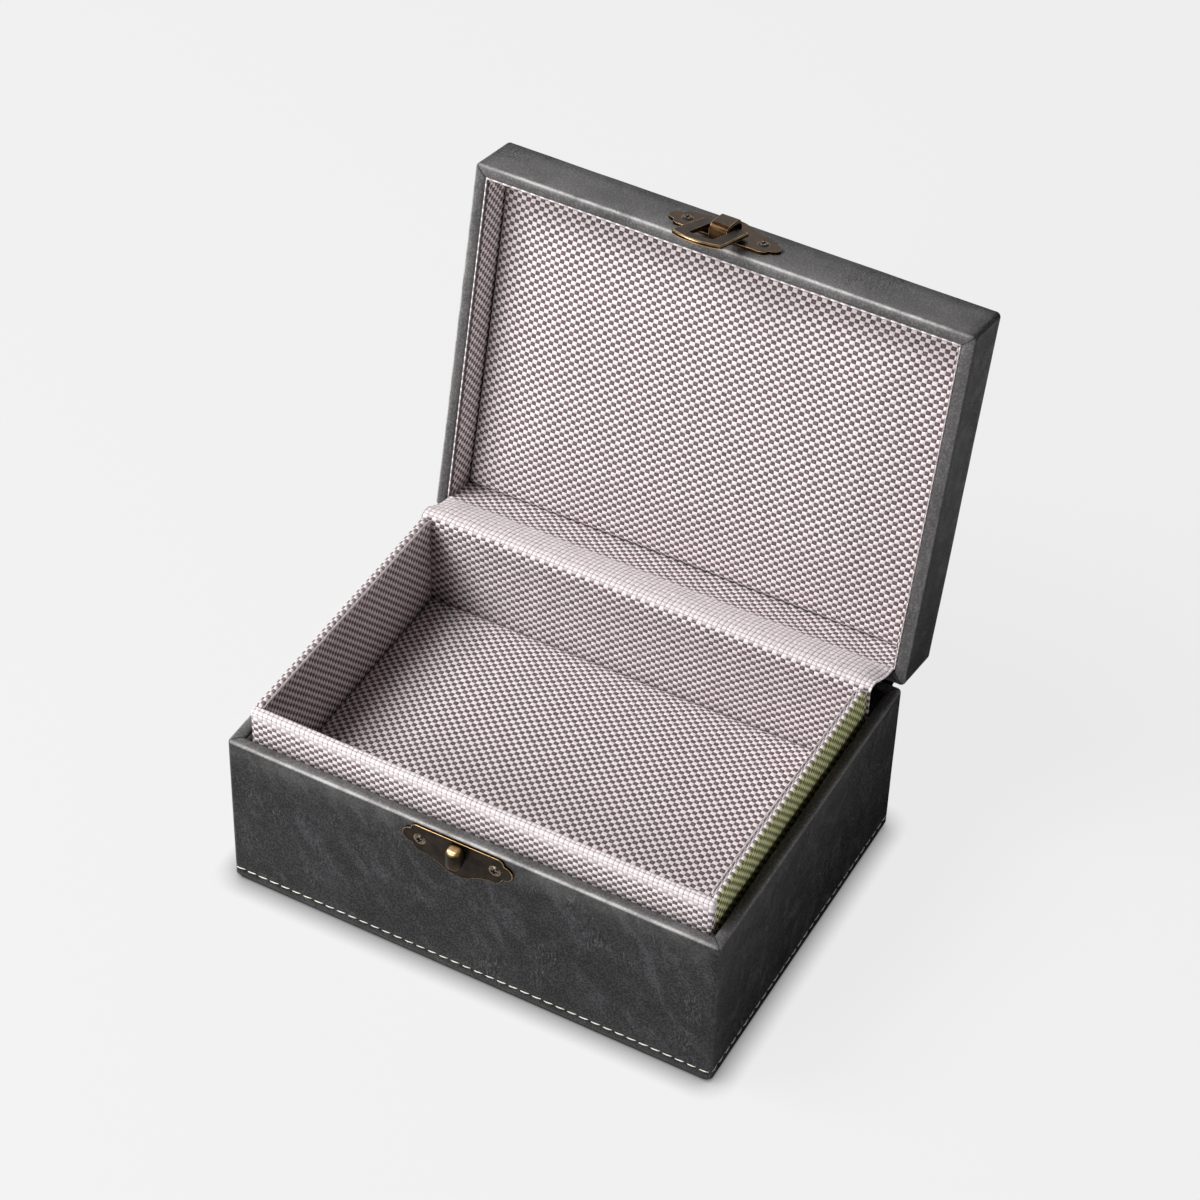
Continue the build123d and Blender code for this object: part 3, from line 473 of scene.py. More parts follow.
def ringSkin(name, cornerSteps, profile, closed):
    halfX, halfY, corner = boxSize["halfX"], boxSize["halfY"], boxSize["corner"]
    firstInset, firstHeight = profile[0]
    bpy.ops.mesh.primitive_plane_add(size=1, location=(0, 0, firstHeight))
    piece = nameActive(name)
    piece.scale = (2 * (halfX - firstInset), 2 * (halfY - firstInset), 1)
    settle(piece)
    bpy.ops.object.mode_set(mode="EDIT")
    bpy.ops.mesh.select_all(action="SELECT")
    bpy.ops.mesh.bevel(offset=ringRadius(corner, firstInset), segments=cornerSteps, affect="VERTICES")
    bpy.ops.mesh.delete(type="ONLY_FACE")
    bpy.ops.mesh.select_all(action="SELECT")
    inset, height = firstInset, firstHeight
    for nextInset, nextHeight in profile[1:]:
        bpy.ops.mesh.extrude_region_move(TRANSFORM_OT_translate={"value": (0, 0, nextHeight - height)})
        drawRingIn(piece, halfX, halfY, corner, inset, nextInset)
        inset, height = nextInset, nextHeight
    if closed:
        # the last ring meets the first
        bpy.ops.mesh.select_all(action="DESELECT")
        mesh = bmesh.from_edit_mesh(piece.data)
        for edge in mesh.edges:
            if len(edge.link_faces) == 1:
                edge.select = True
        bmesh.update_edit_mesh(piece.data)
        bpy.ops.mesh.bridge_edge_loops()
    else:
        bpy.ops.mesh.edge_face_add()
    bpy.ops.mesh.select_all(action="SELECT")
    bpy.ops.mesh.normals_make_consistent(inside=False)
    return piece


def cutLongEdges(piece, axis, shortest, cuts):
    # in edit mode: divides every edge along one axis that is longer than the shortest
    def isLong(a, b):
        run = b - a
        return abs(run[axis]) > shortest and abs(run[axis]) > 0.98 * run.length
    bpy.ops.mesh.select_mode(type="EDGE")
    pickEdges(piece, isLong)
    bpy.ops.mesh.subdivide(number_cuts=cuts, quadcorner="INNERVERT")


def arc(inset, height, radius, start, stop, steps):
    # points of a quarter turn in a side view, by angle from the outward direction
    points = []
    for i in range(steps + 1):
        angle = math.radians(start + (stop - start) * i / steps)
        points.append((inset - radius * math.cos(angle), height + radius * math.sin(angle)))
    return points


def rippled(piece, size, depth):
    # board, glue and cloth are never quite flat
    texture = bpy.data.textures.new(piece.name + "Ripple", "CLOUDS")
    texture.noise_scale = size
    texture.noise_depth = 2
    modifier = piece.modifiers.new("ripple", "DISPLACE")
    modifier.texture = texture
    modifier.texture_coords = "LOCAL"
    modifier.strength = depth
    modifier.mid_level = 0.5
    applyModifiers(piece)


def keepFlat(piece, above):
    # the leather's pattern reads these, so that it lies still when the lid is turned
    layer = piece.data.attributes.new("flat", "FLOAT_VECTOR", "POINT")
    for vertex in piece.data.vertices:
        layer.data[vertex.index].vector = vertex.co / mm + Vector((0, 0, above))


arrisWearAndHighlight = {
    "line": 12,  # degrees round the arris: the bright middle of the wear and painted highlight
    "glow": 45,  # and the soft paler tone beside it, also partly painted highlight
    "glowShare": 0.28,
    "atCorner": 0.25,  # how strong the wear and painted highlight are at a corner
    "pastCorner": 0.38,  # and how much is added further along
    "cornerReach": 14 * mm,
    "band": 0.13,  # a soft paler band below the rim, partly wear and partly painted light
    "bandReach": 3 * mm,
    "upright": 0.08,
    "uprightLine": 18,
    "rightSideShade": 0.2,  # painted shade: the right side, turned from the light, keeps much less of the arris's paleness
}


def arrisAt(spot, levels):
    # how near a point lies to the middle of a rounded arris, upright corners included, as the strength of its
    # wear and painted highlight
    w, corner = arrisWearAndHighlight, boxSize["corner"]
    overX = abs(spot.x) - (boxSize["halfX"] - corner)
    overY = abs(spot.y) - (boxSize["halfY"] - corner)
    inset = corner - math.hypot(max(overX, 0), max(overY, 0)) - min(max(overX, overY), 0)
    value = 0
    for level, radius, most in levels:
        drop = abs(spot.z - level)
        if inset < 1.05 * radius and drop < 1.05 * radius:
            off = math.degrees(math.atan2(radius - drop, radius - inset)) - 45
            line = math.exp(-(off / w["line"]) ** 2) + w["glowShare"] * math.exp(-(off / w["glow"]) ** 2)
            fromCorner = min(abs(min(overX, overY, 0)) / w["cornerReach"], 1)
            value = max(value, most * line * (w["atCorner"] + w["pastCorner"] * fromCorner))
        elif most == 1 and inset < 0.3 * mm:
            value = max(value, w["band"] * math.exp(-drop / w["bandReach"]))
    if overX > 0 and overY > 0 and inset < 0.2 * mm:
        off = math.degrees(math.atan2(overY, overX)) - 45
        value = max(value, w["upright"] * math.exp(-(off / w["uprightLine"]) ** 2))
    # painted shade: the arris line is weakened on the right side
    return value * (w["rightSideShade"] if spot.x > boxSize["halfX"] - 3 * mm else 1)


def lidWearAndSheenAt(spot, s):
    # the lid's front is paler than the rest, least at the top's edge: partly wear from hands that open it,
    # partly painted sheen
    fromEnd = (boxSize["halfX"] - abs(spot.x)) / s["paleFadeFromEnd"]
    fromTop = (boxSize["lidHeight"] - spot.z) / s["paleFadeFromTop"]
    onFront = spot.y < 3.4 * mm - boxSize["halfY"]
    return onFront * min(1, 0.35 + fromEnd) * min(1, max(0, fromTop))


def creaseCorners(piece, depth, lowest, highest):
    # the mitred fold across each corner of a rim sinks in
    for vertex in piece.data.vertices:
        fromX = boxSize["halfX"] - abs(vertex.co.x)
        fromY = boxSize["halfY"] - abs(vertex.co.y)
        onDiagonal = abs(fromX - fromY) < 0.05 * mm
        if onDiagonal and fromX < 5 * mm and lowest < vertex.co.z < highest:
            vertex.co.z -= depth


skinSettings = {
    "rimRound": 1.0 * mm,
    "innerRound": 0.7 * mm,
    "turnIn": 10 * mm,
    "turnUnder": 10 * mm,
    "bottomRound": 0.5 * mm,
    "stitchGroove": 0.12 * mm,
    "stitchHeight": 3.8 * mm,
    "lidTopRound": 1.1 * mm,
    "lidTopRings": (4, 9, 16, 24, 33, 42),  # how far in each ring of the lid's top lies
    "cornerSteps": 12,
    "rippleSize": 22 * mm,
    "ripple": 0.16 * mm,
    "mitreDepth": 0.22 * mm,
    "mitreReach": 0.9 * mm,  # how far over the rim's edge the mitre goes
    "rimFace": 0.62 * mm,  # and the rim's paler leather, from wear and painted sheen
    "paleFadeFromEnd": 6 * mm,
    "paleFadeFromTop": 5 * mm,
}


def baseProfile(s):
    low, high = boxSize["cover"], boxSize["baseHeight"]
    wall, leather = boxSize["wall"], boxSize["leather"]
    rows = [(s["turnUnder"], low), (s["bottomRound"], low), (0, low + s["bottomRound"])]
    groove, around = s["stitchHeight"], 0.45 * mm
    rows += [(0, groove - around), (s["stitchGroove"], groove), (0, groove + around)]
    rows += arc(s["rimRound"], high - s["rimRound"], s["rimRound"], 0, 90, 5)
    rows += [(wall / 2, high + 0.04 * mm)]
    rows += [(wall - s["innerRound"], high)]
    rows += [(wall - 0.2 * mm, high - 0.25 * mm), (wall, high - s["innerRound"])]
    rows += [(wall, high - s["turnIn"]), (wall - leather, high - s["turnIn"])]
    rows += [(wall - leather, high - leather), (leather, high - leather)]
    rows += [(leather, low + leather), (s["turnUnder"], low + leather)]
    return rows


def makeBaseSkin(s):
    rim = boxSize["baseHeight"]
    skin = ringSkin("base_skin", s["cornerSteps"], baseProfile(s), True)
    cutLongEdges(skin, 0, 60 * mm, 59)
    cutLongEdges(skin, 1, 60 * mm, 43)
    cutLongEdges(skin, 2, 20 * mm, 19)
    bpy.ops.object.mode_set(mode="OBJECT")
    levels = ((rim, s["rimRound"], 1), (boxSize["cover"], s["bottomRound"], 0.5))
    markPoints(skin, "arris", lambda spot: arrisAt(spot, levels))
    keepFlat(skin, 0)
    creaseCorners(skin, s["mitreDepth"], rim - s["mitreReach"], 1)
    rippled(skin, s["rippleSize"], s["ripple"])
    dress(skin, sideLeather, rimLeather)
    # faces on the rim take the paler rim leather: wear and painted sheen
    for face in skin.data.polygons:
        face.material_index = 1 if face.center.z > rim - s["rimFace"] else 0
    smooth(skin, 50)
    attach(skin, "base")
    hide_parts("base_wrap")


def lidProfile(s):
    low, high = boxSize["rimGap"], boxSize["lidHeight"]
    wall, top = boxSize["wall"], s["lidTopRound"]
    rows = [(wall, low + s["turnIn"]), (wall, low + s["innerRound"]), (wall - 0.2 * mm, low + 0.25 * mm)]
    rows += [(wall - s["innerRound"], low), (wall / 2, low - 0.04 * mm)]
    rows += list(reversed(arc(s["rimRound"], low + s["rimRound"], s["rimRound"], 0, -90, 5)))
    rows += arc(top, high - top, top, 0, 90, 5)
    rows += [(inset * mm, high) for inset in s["lidTopRings"]]
    return rows


def makeLidSkin(s):
    rim = boxSize["rimGap"]
    skin = ringSkin("lid_skin", s["cornerSteps"], lidProfile(s), False)
    cutLongEdges(skin, 0, 40 * mm, 59)
    cutLongEdges(skin, 1, 12 * mm, 43)
    cutLongEdges(skin, 2, 10 * mm, 7)
    bpy.ops.object.mode_set(mode="OBJECT")
    levels = ((rim, s["rimRound"], 1), (boxSize["lidHeight"], s["lidTopRound"], 0.5))
    markPoints(skin, "arris", lambda spot: arrisAt(spot, levels))
    keepFlat(skin, 100)
    markPoints(skin, "lidWearAndSheen", lambda spot: lidWearAndSheenAt(spot, s))
    creaseCorners(skin, -s["mitreDepth"], -1, rim + s["mitreReach"])
    rippled(skin, s["rippleSize"], s["ripple"])
    # the leather's own thickness, hidden behind the boards
    thicken = skin.modifiers.new("leather", "SOLIDIFY")
    thicken.thickness = boxSize["leather"] * 0.8
    thicken.offset = -1
    applyModifiers(skin)
    dress(skin, sideLeather, rimLeather)
    # faces on the rim take the paler rim leather: wear and painted sheen
    for face in skin.data.polygons:
        face.material_index = 1 if face.center.z < rim + s["rimFace"] else 0
    settle(skin, lidPlace @ Matrix.Translation((0, -boxSize["halfY"], 0)))
    smooth(skin, 50)
    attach(skin, "lid")
    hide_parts("lid_wrap")


makeBaseSkin(skinSettings)
makeLidSkin(skinSettings)
print("skins made")


# fabric-covered boards

def addWeaveMap(piece, normalAxes):
    # a map in millimetres: each face takes the two axes that it lies along
    layer = piece.data.uv_layers.new(name="weave")
    for face in piece.data.polygons:
        lean = [abs(face.normal.dot(axis)) for axis in normalAxes]
        out = lean.index(max(lean))
        # the weft runs along X, or up on the side walls
        along = [normalAxes[i] for i in ((2, 1), (0, 2), (0, 1))[out]]
        for loop in face.loop_indices:
            spot = piece.data.vertices[piece.data.loops[loop].vertex_index].co
            layer.data[loop].uv = (spot.dot(along[0]) / mm, spot.dot(along[1]) / mm)


boardAxes = (Vector((1, 0, 0)), Vector((0, 1, 0)), Vector((0, 0, 1)))


def coveredBoard(name, low, high, s):
    # a board under fabric, with soft edges all round
    middle, size = (low + high) / 2, high - low
    bpy.ops.mesh.primitive_cube_add(size=1, location=middle)
    piece = nameActive(name)
    piece.scale = size
    settle(piece)
    bpy.ops.object.mode_set(mode="EDIT")
    bpy.ops.mesh.select_all(action="SELECT")
    bpy.ops.mesh.bevel(offset=s["round"], segments=s["roundSteps"], affect="EDGES", profile=0.5)
    long = 0 if size.x > size.y else 1
    cutLongEdges(piece, long, 30 * mm, s["cuts"])
    cutLongEdges(piece, 2, 8 * mm, s["cuts"] // 3)
    bpy.ops.object.mode_set(mode="OBJECT")
    rippled(piece, 9 * mm, s["ripple"])
    return piece


boardSettings = {
    "round": 0.85 * mm,
    "roundSteps": 4,
    "cuts": 48,
    "ripple": 0.22 * mm,
    "foldDepth": 0.3 * mm,
    "foldWidth": 0.3 * mm,
    "backCorner": 2.2 * mm,
    "paleEdge": 1.9 * mm,  # how far down the bent cloth looks paler
    "lining": {"thickness": 0.6 * mm, "round": 0.26 * mm, "roundSteps": 3, "ripple": 0.08 * mm},
    "liningTop": 12.2 * mm,  # how deep the lid's cards reach
}


def foldedEdge(side, inner, low, high, s):
    # the cloth's folded edge: a thin pale lip along a side wall's inner top edge
    sign = 1 if side == "right" else -1
    x = inner + sign * s["foldWidth"] / 2
    start, stop = low.y + 1.2 * mm, high.y - s["backCorner"]
    bpy.ops.mesh.primitive_cylinder_add(vertices=10, radius=s["foldWidth"] / 2, depth=stop - start,
                                        location=(x, (start + stop) / 2, high.z - 0.08 * mm),
                                        rotation=(math.pi / 2, 0, 0))
    lip = nameActive("insert_" + side + "_fold")
    settle(lip)
    bpy.ops.object.mode_set(mode="EDIT")
    cutLongEdges(lip, 1, 30 * mm, 60)
    bpy.ops.object.mode_set(mode="OBJECT")
    rippled(lip, 5 * mm, 0.1 * mm)
    # its front end tucks down into the corner
    for vertex in lip.data.vertices:
        fromFront = (vertex.co.y - start) / (1.5 * mm)
        if fromFront < 1:
            vertex.co.z -= 0.5 * mm * (1 - fromFront) ** 2
    addWeaveMap(lip, boardAxes)
    markPoints(lip, "overBend", lambda spot: 0.4)
    dress(lip, weave)
    smooth(lip, 60)
    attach(lip, "base")


def makeInsert(s):
    for side in ("front", "left", "right", "back"):
        low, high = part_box("liner_" + side)
        board = coveredBoard("insert_" + side, low, high, s)
        if side in ("left", "right"):
            # the cloth's folded edge runs along the inner top edge, and the back corner is cut off
            inner = low.x if side == "right" else high.x
            for vertex in board.data.vertices:
                spot = vertex.co
                fromInner = abs(spot.x - inner)
                if fromInner < 0.7 * mm and spot.z > high.z - 0.5 * mm:
                    spot.z -= s["foldDepth"]
                overBack = spot.y - (high.y - s["backCorner"])
                overTop = spot.z - (high.z - s["backCorner"])
                if overBack > 0 and overTop > 0:
                    reach = math.hypot(overBack, overTop)
                    if reach > s["backCorner"]:
                        spot.y -= overBack * (1 - s["backCorner"] / reach)
                        spot.z -= overTop * (1 - s["backCorner"] / reach)
            # painted shade in the groove beside the folded edge
            markPoints(board, "foldShade", lambda spot: (spot.z > high.z - 0.6 * mm) * (
                1 - abs(abs(spot.x - inner) - 0.45 * mm) / (0.25 * mm)))
            foldedEdge(side, inner, low, high, s)
        if side == "right":
            # painted light: the shaded outer face takes the green cast of light spilled from its surroundings
            markPoints(board, "spill", lambda spot: (spot.x - high.x + 0.75 * mm) / (0.4 * mm))
        if side == "front":
            markPoints(board, "overBend", lambda spot: (spot.z - high.z + s["paleEdge"]) / (0.8 * mm))
        elif side != "back":
            markPoints(board, "overBend", lambda spot: 0.12 * (spot.z > high.z - 0.6 * mm))
        addWeaveMap(board, boardAxes)
        dress(board, weave)
        smooth(board, 50)
        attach(board, "base")
        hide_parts("liner_" + side)


makeInsert(boardSettings)

lidAxes = tuple(lidPlace.to_3x3() @ axis for axis in boardAxes)


def makeLidLining(s):
    # thin covered cards inside the lid's walls; their folded edge is what shows as a dotted line
    inner, thickness = boxSize["wall"], s["lining"]["thickness"]
    low, high = boxSize["rimGap"] + 0.25 * mm, s["liningTop"]
    halfX, depth = boxSize["halfX"] - inner, 2 * boxSize["halfY"]
    spans = {
        "front": ((-halfX, -depth + inner), (halfX, -depth + inner + thickness)),
        "left": ((-halfX, -depth + inner + thickness), (-halfX + thickness, -inner - 0.5 * mm)),
        "right": ((halfX - thickness, -depth + inner + thickness), (halfX, -inner - 0.5 * mm)),
    }
    for side, (lowXY, highXY) in spans.items():
        card = coveredBoard("lid_lining_" + side, Vector((*lowXY, low)), Vector((*highXY, high)),
                            dict(s, **s["lining"]))
        markPoints(card, "overBend", lambda spot: 0.5 * (spot.z < low + 0.4 * mm))
        insideX, insideY = halfX - 0.62 * thickness, -depth + inner + 0.62 * thickness
        # painted shadow along the card's inner edge, under its folded top
        markPoints(card, "foldShade", lambda spot: spot.z < low + 1.3 * mm and (
            abs(spot.x) < insideX and spot.y > insideY))
        settle(card, lidPlace)
        addWeaveMap(card, lidAxes)
        dress(card, weave)
        smooth(card, 50)
        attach(card, "lid")
        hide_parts("lid_liner_" + side)


makeLidLining(boardSettings)
print("insert and lid lining made")


# padded panels

def stuffedPad(name, halfX, halfY, height, s):
    # a closed flat case in a fine grid; its top is blown up a little by the cloth solver
    bpy.ops.mesh.primitive_grid_add(x_subdivisions=s["gridX"], y_subdivisions=s["gridY"], size=1)
    pad = nameActive(name)
    pad.scale = (2 * halfX, 2 * halfY, 1)
    settle(pad)
    bpy.ops.object.mode_set(mode="EDIT")
    bpy.ops.mesh.select_all(action="SELECT")
    steps = 3
    for _ in range(steps):
        bpy.ops.mesh.extrude_region_move(TRANSFORM_OT_translate={"value": (0, 0, height / steps)})
    bpy.ops.mesh.select_all(action="SELECT")
    bpy.ops.mesh.remove_doubles(threshold=0.01 * mm)
    bpy.ops.mesh.normals_make_consistent(inside=False)
    bpy.ops.object.mode_set(mode="OBJECT")
    layer = pad.data.uv_layers.new(name="weave")
    for face in pad.data.polygons:
        side = abs(face.normal.z) < 0.5
        for loop in face.loop_indices:
            spot = pad.data.vertices[pad.data.loops[loop].vertex_index].co
            u, v, drop = spot.x / mm, spot.y / mm, (height - spot.z) / mm
            if side and abs(face.normal.x) > 0.5:
                u += math.copysign(drop, face.normal.x)
            elif side:
                v += math.copysign(drop, face.normal.y)
            layer.data[loop].uv = (u, v)
    # shape before the solver: the upper edge rounded, the sides drawn in
    for vertex in pad.data.vertices:
        spot = vertex.co
        level = spot.z / height
        alongX, alongY = spot.x / halfX, spot.y / halfY
        rise = max(0, 1 - alongX ** 2) ** 0.5 * max(0, 1 - alongY ** 2) ** 0.5
        if level > 0.99:
            fromEdge = min(1 - abs(alongX), (1 - abs(alongY)) * halfY / halfX)
            spot.z -= s["edgeDrop"] * (1 - min(1, 6 * fromEdge))
            spot.z += s["crown"] * rise ** 0.8
        spot.x -= s["draw"] * alongX ** 3 * (1 - alongY ** 2) * level
        spot.y -= s["draw"] * alongY ** 3 * (1 - alongX ** 2) * level
    held = pad.vertex_groups.new(name="held")
    for vertex in pad.data.vertices:
        if vertex.co.z < 0.4 * height:
            held.add([vertex.index], 1.0, "REPLACE")
    start = [vertex.co.copy() for vertex in pad.data.vertices]
    cloth = pad.modifiers.new("cloth", "CLOTH")
    for setting, value in s["cover"].items():
        setattr(cloth.settings, setting, value)
    cloth.settings.effector_weights.gravity = 0
    cloth.settings.vertex_group_mass = "held"
    cloth.collision_settings.use_self_collision = False
    scene = bpy.context.scene
    scene.frame_start, scene.frame_end = 1, s["frames"]
    for step in range(1, s["frames"] + 1):
        scene.frame_set(step)
    applyModifiers(pad)
    # no point goes further than the case lets it
    for vertex, before in zip(pad.data.vertices, start):
        move = vertex.co - before
        if move.length > s["cap"]:
            vertex.co = before + move * (s["cap"] / move.length)
    scene.frame_set(1)
    rippled(pad, 13 * mm, s["ripple"])
    rounder = pad.modifiers.new("rounder", "SUBSURF")
    rounder.levels = rounder.render_levels = 1
    applyModifiers(pad)
    return pad


padSettings = {
    "gridX": 56,
    "gridY": 38,
    "crown": 1.2 * mm,
    "edgeDrop": 1.1 * mm,
    "draw": 0.5 * mm,
    "cover": {  # the covering cloth, blown up by a little pressure
        "use_pressure": True, "uniform_pressure_force": 0.6, "tension_stiffness": 40,
        "compression_stiffness": 8, "bending_stiffness": 0.3, "quality": 6},
    "frames": 20,
    "cap": 1.0 * mm,
    "ripple": 0.35 * mm,
    "wellHeight": 5.2 * mm,
    "lidHeight": 3.6 * mm,
    "lidCard": 13 * mm,  # the face of the card behind the lid's pad
    "lidGap": 4.1 * mm,
    "lidPad": {"crown": 0.8 * mm, "edgeDrop": 0.9 * mm, "cap": 0.7 * mm},
}


def makePads(s):
    low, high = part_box("floor_pad")
    floorPad = stuffedPad("well_pad", (high.x - low.x) / 2, (high.y - low.y) / 2, s["wellHeight"], s)
    settle(floorPad, Matrix.Translation(((low.x + high.x) / 2, (low.y + high.y) / 2, low.z)))
    dress(floorPad, weave)
    smooth(floorPad, 60)
    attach(floorPad, "base")
    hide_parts("floor_pad")

    # the lid's pad faces the rim: it lies upside down in the lid
    lidPad = stuffedPad("lid_pad_cover", boxSize["halfX"] - s["lidGap"], boxSize["halfY"] - s["lidGap"],
                        s["lidHeight"], dict(s, **s["lidPad"]))
    upsideDown = Matrix.Translation((0, -boxSize["halfY"], s["lidCard"])) @ Matrix.Rotation(math.pi, 4, "X")
    settle(lidPad, lidPlace @ upsideDown)
    dress(lidPad, weave)
    smooth(lidPad, 60)
    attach(lidPad, "lid")
    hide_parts("lid_pad")


makePads(padSettings)
print("pads made")


# the cloth and the leather that cross the hinge

def alongRoute(route, spacing):
    # points at an even spacing along a line of corners
    runs = [(b - a).length for a, b in zip(route, route[1:])]
    total = sum(runs)
    count = round(total / spacing)
    points = []
    for i in range(count + 1):
        want = total * i / count
        run = 0
        while run < len(runs) - 1 and want > runs[run]:
            want -= runs[run]
            run += 1
        points.append(route[run].lerp(route[run + 1], min(1, want / runs[run])))
    return points


def roundCorners(points, passes):
    # relaxes the corners of an evenly spaced line; its ends stay
    for _ in range(passes):
        relaxed = [points[0]]
        for before, here, after in zip(points, points[1:], points[2:]):
            relaxed.append(here * 0.5 + (before + after) * 0.25)
        points = relaxed + [points[-1]]
    return points


def stripAlong(name, halfWidth, points, columns, drop):
    # a flat grid, each of its rows carried to one point of the route; its ends droop where it is slack
    rows = len(points)
    bpy.ops.mesh.primitive_grid_add(x_subdivisions=columns, y_subdivisions=rows - 1, size=2)
    strip = nameActive(name)
    lengths, woven = [0], [0]
    for a, b in zip(points, points[1:]):
        lengths.append(lengths[-1] + (b - a).length)
        woven.append(woven[-1] + (b - a).length * (1 - 0.45 * (slackAt(a) > 0)))
    layer = strip.data.uv_layers.new(name="weave")
    order = [0] * len(strip.data.vertices)
    for vertex in strip.data.vertices:
        row = round((vertex.co.y + 1) / 2 * (rows - 1))
        order[vertex.index] = row
        across = vertex.co.x
        spot = points[row]
        sink = drop * max(0, abs(across) - 0.93) / 0.07
        vertex.co = (across * halfWidth, spot.y, spot.z - sink * slackAt(spot))
    for loop in strip.data.loops:
        vertex = strip.data.vertices[loop.vertex_index]
        layer.data[loop.index].uv = (vertex.co.x / mm, woven[order[vertex.index]] / mm)
    strip.data.uv_layers.active = layer
    return strip, lengths, order


clothSettings = {
    "halfWidth": 64.3 * mm,
    "thickness": 0.5 * mm,
    "bulge": 0.6 * mm,  # the free cloth rises a little
    "spacing": 1.0 * mm,
    "easing": 5,
    "endDroop": 1.4 * mm,
    "slackFrom": 40.5 * mm,  # between these depths the cloth hangs free
    "slackTo": 51.5 * mm,
    "paleFrom": 37.7 * mm,  # between these it looks paler
    "paleTo": 51.6 * mm,
    "paleAbove": 50 * mm,
}


def slackAt(spot):
    # how free the cloth is to hang at this depth
    s = clothSettings
    way = (spot.y - s["slackFrom"]) / (s["slackTo"] - s["slackFrom"])
    return math.sin(math.pi * way) if 0 < way < 1 else 0


def makeHingeCloth(s):
    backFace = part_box("hinge_cloth")[0].y + s["thickness"] / 2
    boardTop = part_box("liner_back")[1]
    lidBack = boxSize["wall"] + 0.3 * mm
    crest = boardTop.z + s["thickness"] * 0.8
    lidEdge = lidSpot(0, lidBack, 1.4 * mm)
    behind = Vector((0, boardTop.y + 0.3 * mm, crest - 0.2 * mm))
    halfway = (lidEdge + behind) / 2 + Vector((0, 0, s["bulge"]))
    route = [
        lidSpot(0, lidBack, 12.6 * mm), lidEdge, halfway, behind,
        Vector((0, backFace, crest)), Vector((0, backFace, 28.3 * mm)),
    ]
    points = roundCorners(alongRoute(route, s["spacing"]), s["easing"])
    cloth, lengths = stripAlong("hinge_cloth_strip", s["halfWidth"], points, 86, s["endDroop"])[:2]
    # the free cloth shows its raised white yarns, so it looks paler there
    markPoints(cloth, "overBend", lambda spot: (spot.z > s["paleAbove"]) * min(
        (spot.y - s["paleFrom"]) / (0.5 * mm), (s["paleTo"] - spot.y) / (1.2 * mm)))
    rippled(cloth, 7 * mm, 0.5 * mm)
    thicken = cloth.modifiers.new("cloth", "SOLIDIFY")
    thicken.thickness = s["thickness"]
    thicken.offset = 0
    applyModifiers(cloth)
    dress(cloth, weave)
    smooth(cloth, 60)
    print("hinge cloth: %.1f x %.1f mm" % (2 * s["halfWidth"] / mm, lengths[-1] / mm))
    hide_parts("hinge_cloth")
    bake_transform(cloth)


spineSettings = {
    "halfWidth": 65 * mm,
    "thickness": 0.45 * mm,
    "proud": 0.12 * mm,
    "low": 6 * mm,
    "high": 15 * mm,
    "spacing": 0.8 * mm,
    "easing": 2,
}


def makeSpine(s):
    out = s["proud"]
    route = [
        Vector((0, boxSize["halfY"] + out, s["low"])),
        Vector((0, boxSize["halfY"] + out, boxSize["baseHeight"] - 0.6 * mm)),
        lidSpot(0, -out, 0.6 * mm),
        lidSpot(0, -out, s["high"]),
    ]
    points = roundCorners(alongRoute(route, s["spacing"]), s["easing"])
    spine, lengths, order = stripAlong("spine_leather", s["halfWidth"], points, 80, 0)
    layer = spine.data.attributes.new("flat", "FLOAT_VECTOR", "POINT")
    for vertex in spine.data.vertices:
        run = s["low"] + lengths[order[vertex.index]]
        layer.data[vertex.index].vector = (vertex.co.x / mm, boxSize["halfY"] / mm, run / mm)
    rippled(spine, 12 * mm, 0.12 * mm)
    thicken = spine.modifiers.new("leather", "SOLIDIFY")
    thicken.thickness = s["thickness"]
    thicken.offset = 0
    edge = spine.modifiers.new("edge", "BEVEL")
    edge.width = 0.15 * mm
    edge.segments = 2
    applyModifiers(spine)
    dress(spine, sideLeather)
    smooth(spine, 50)
    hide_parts("hinge_leather")
    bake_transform(spine)


makeHingeCloth(clothSettings)
makeSpine(spineSettings)
print("hinge made")


# stitching round the foot of the base

stitchSettings = {
    "height": skinSettings["stitchHeight"],
    "pitch": 3.3 * mm,
    "length": 2.6 * mm,
    "radius": 0.16 * mm,
    "slant": -6,
    "sides": 6,
    "rings": 5,
}


def makeStitch(s):
    bpy.ops.mesh.primitive_cylinder_add(vertices=s["sides"], radius=s["radius"], depth=s["length"],
                                        end_fill_type="TRIFAN", rotation=(0, math.pi / 2, 0))
    stitch = nameActive("stitch")
    settle(stitch)
    bpy.ops.object.mode_set(mode="EDIT")
    cutLongEdges(stitch, 0, s["length"] * 0.8, s["rings"])
    bpy.ops.object.mode_set(mode="OBJECT")
    for vertex in stitch.data.vertices:
        toEnd = abs(vertex.co.x) / (s["length"] / 2)
        vertex.co.y += s["radius"] * 1.3 * toEnd ** 3  # the ends dive into the leather
        vertex.co.z *= 1 - 0.35 * toEnd ** 2
    return stitch


def stitchSpots(s):
    # places round the base at an even pitch, each with its direction
    halfX, halfY, corner = boxSize["halfX"], boxSize["halfY"], boxSize["corner"]
    spots = []
    for turn, (along, out) in enumerate(2 * ((halfX, halfY), (halfY, halfX))):
        run = 2 * (along - corner)
        count = int(run // s["pitch"])
        for i in range(count + 1):
            across = (i - count / 2) * s["pitch"]
            spots.append((Matrix.Rotation(turn * math.pi / 2, 4, "Z"), across, out))
    return spots


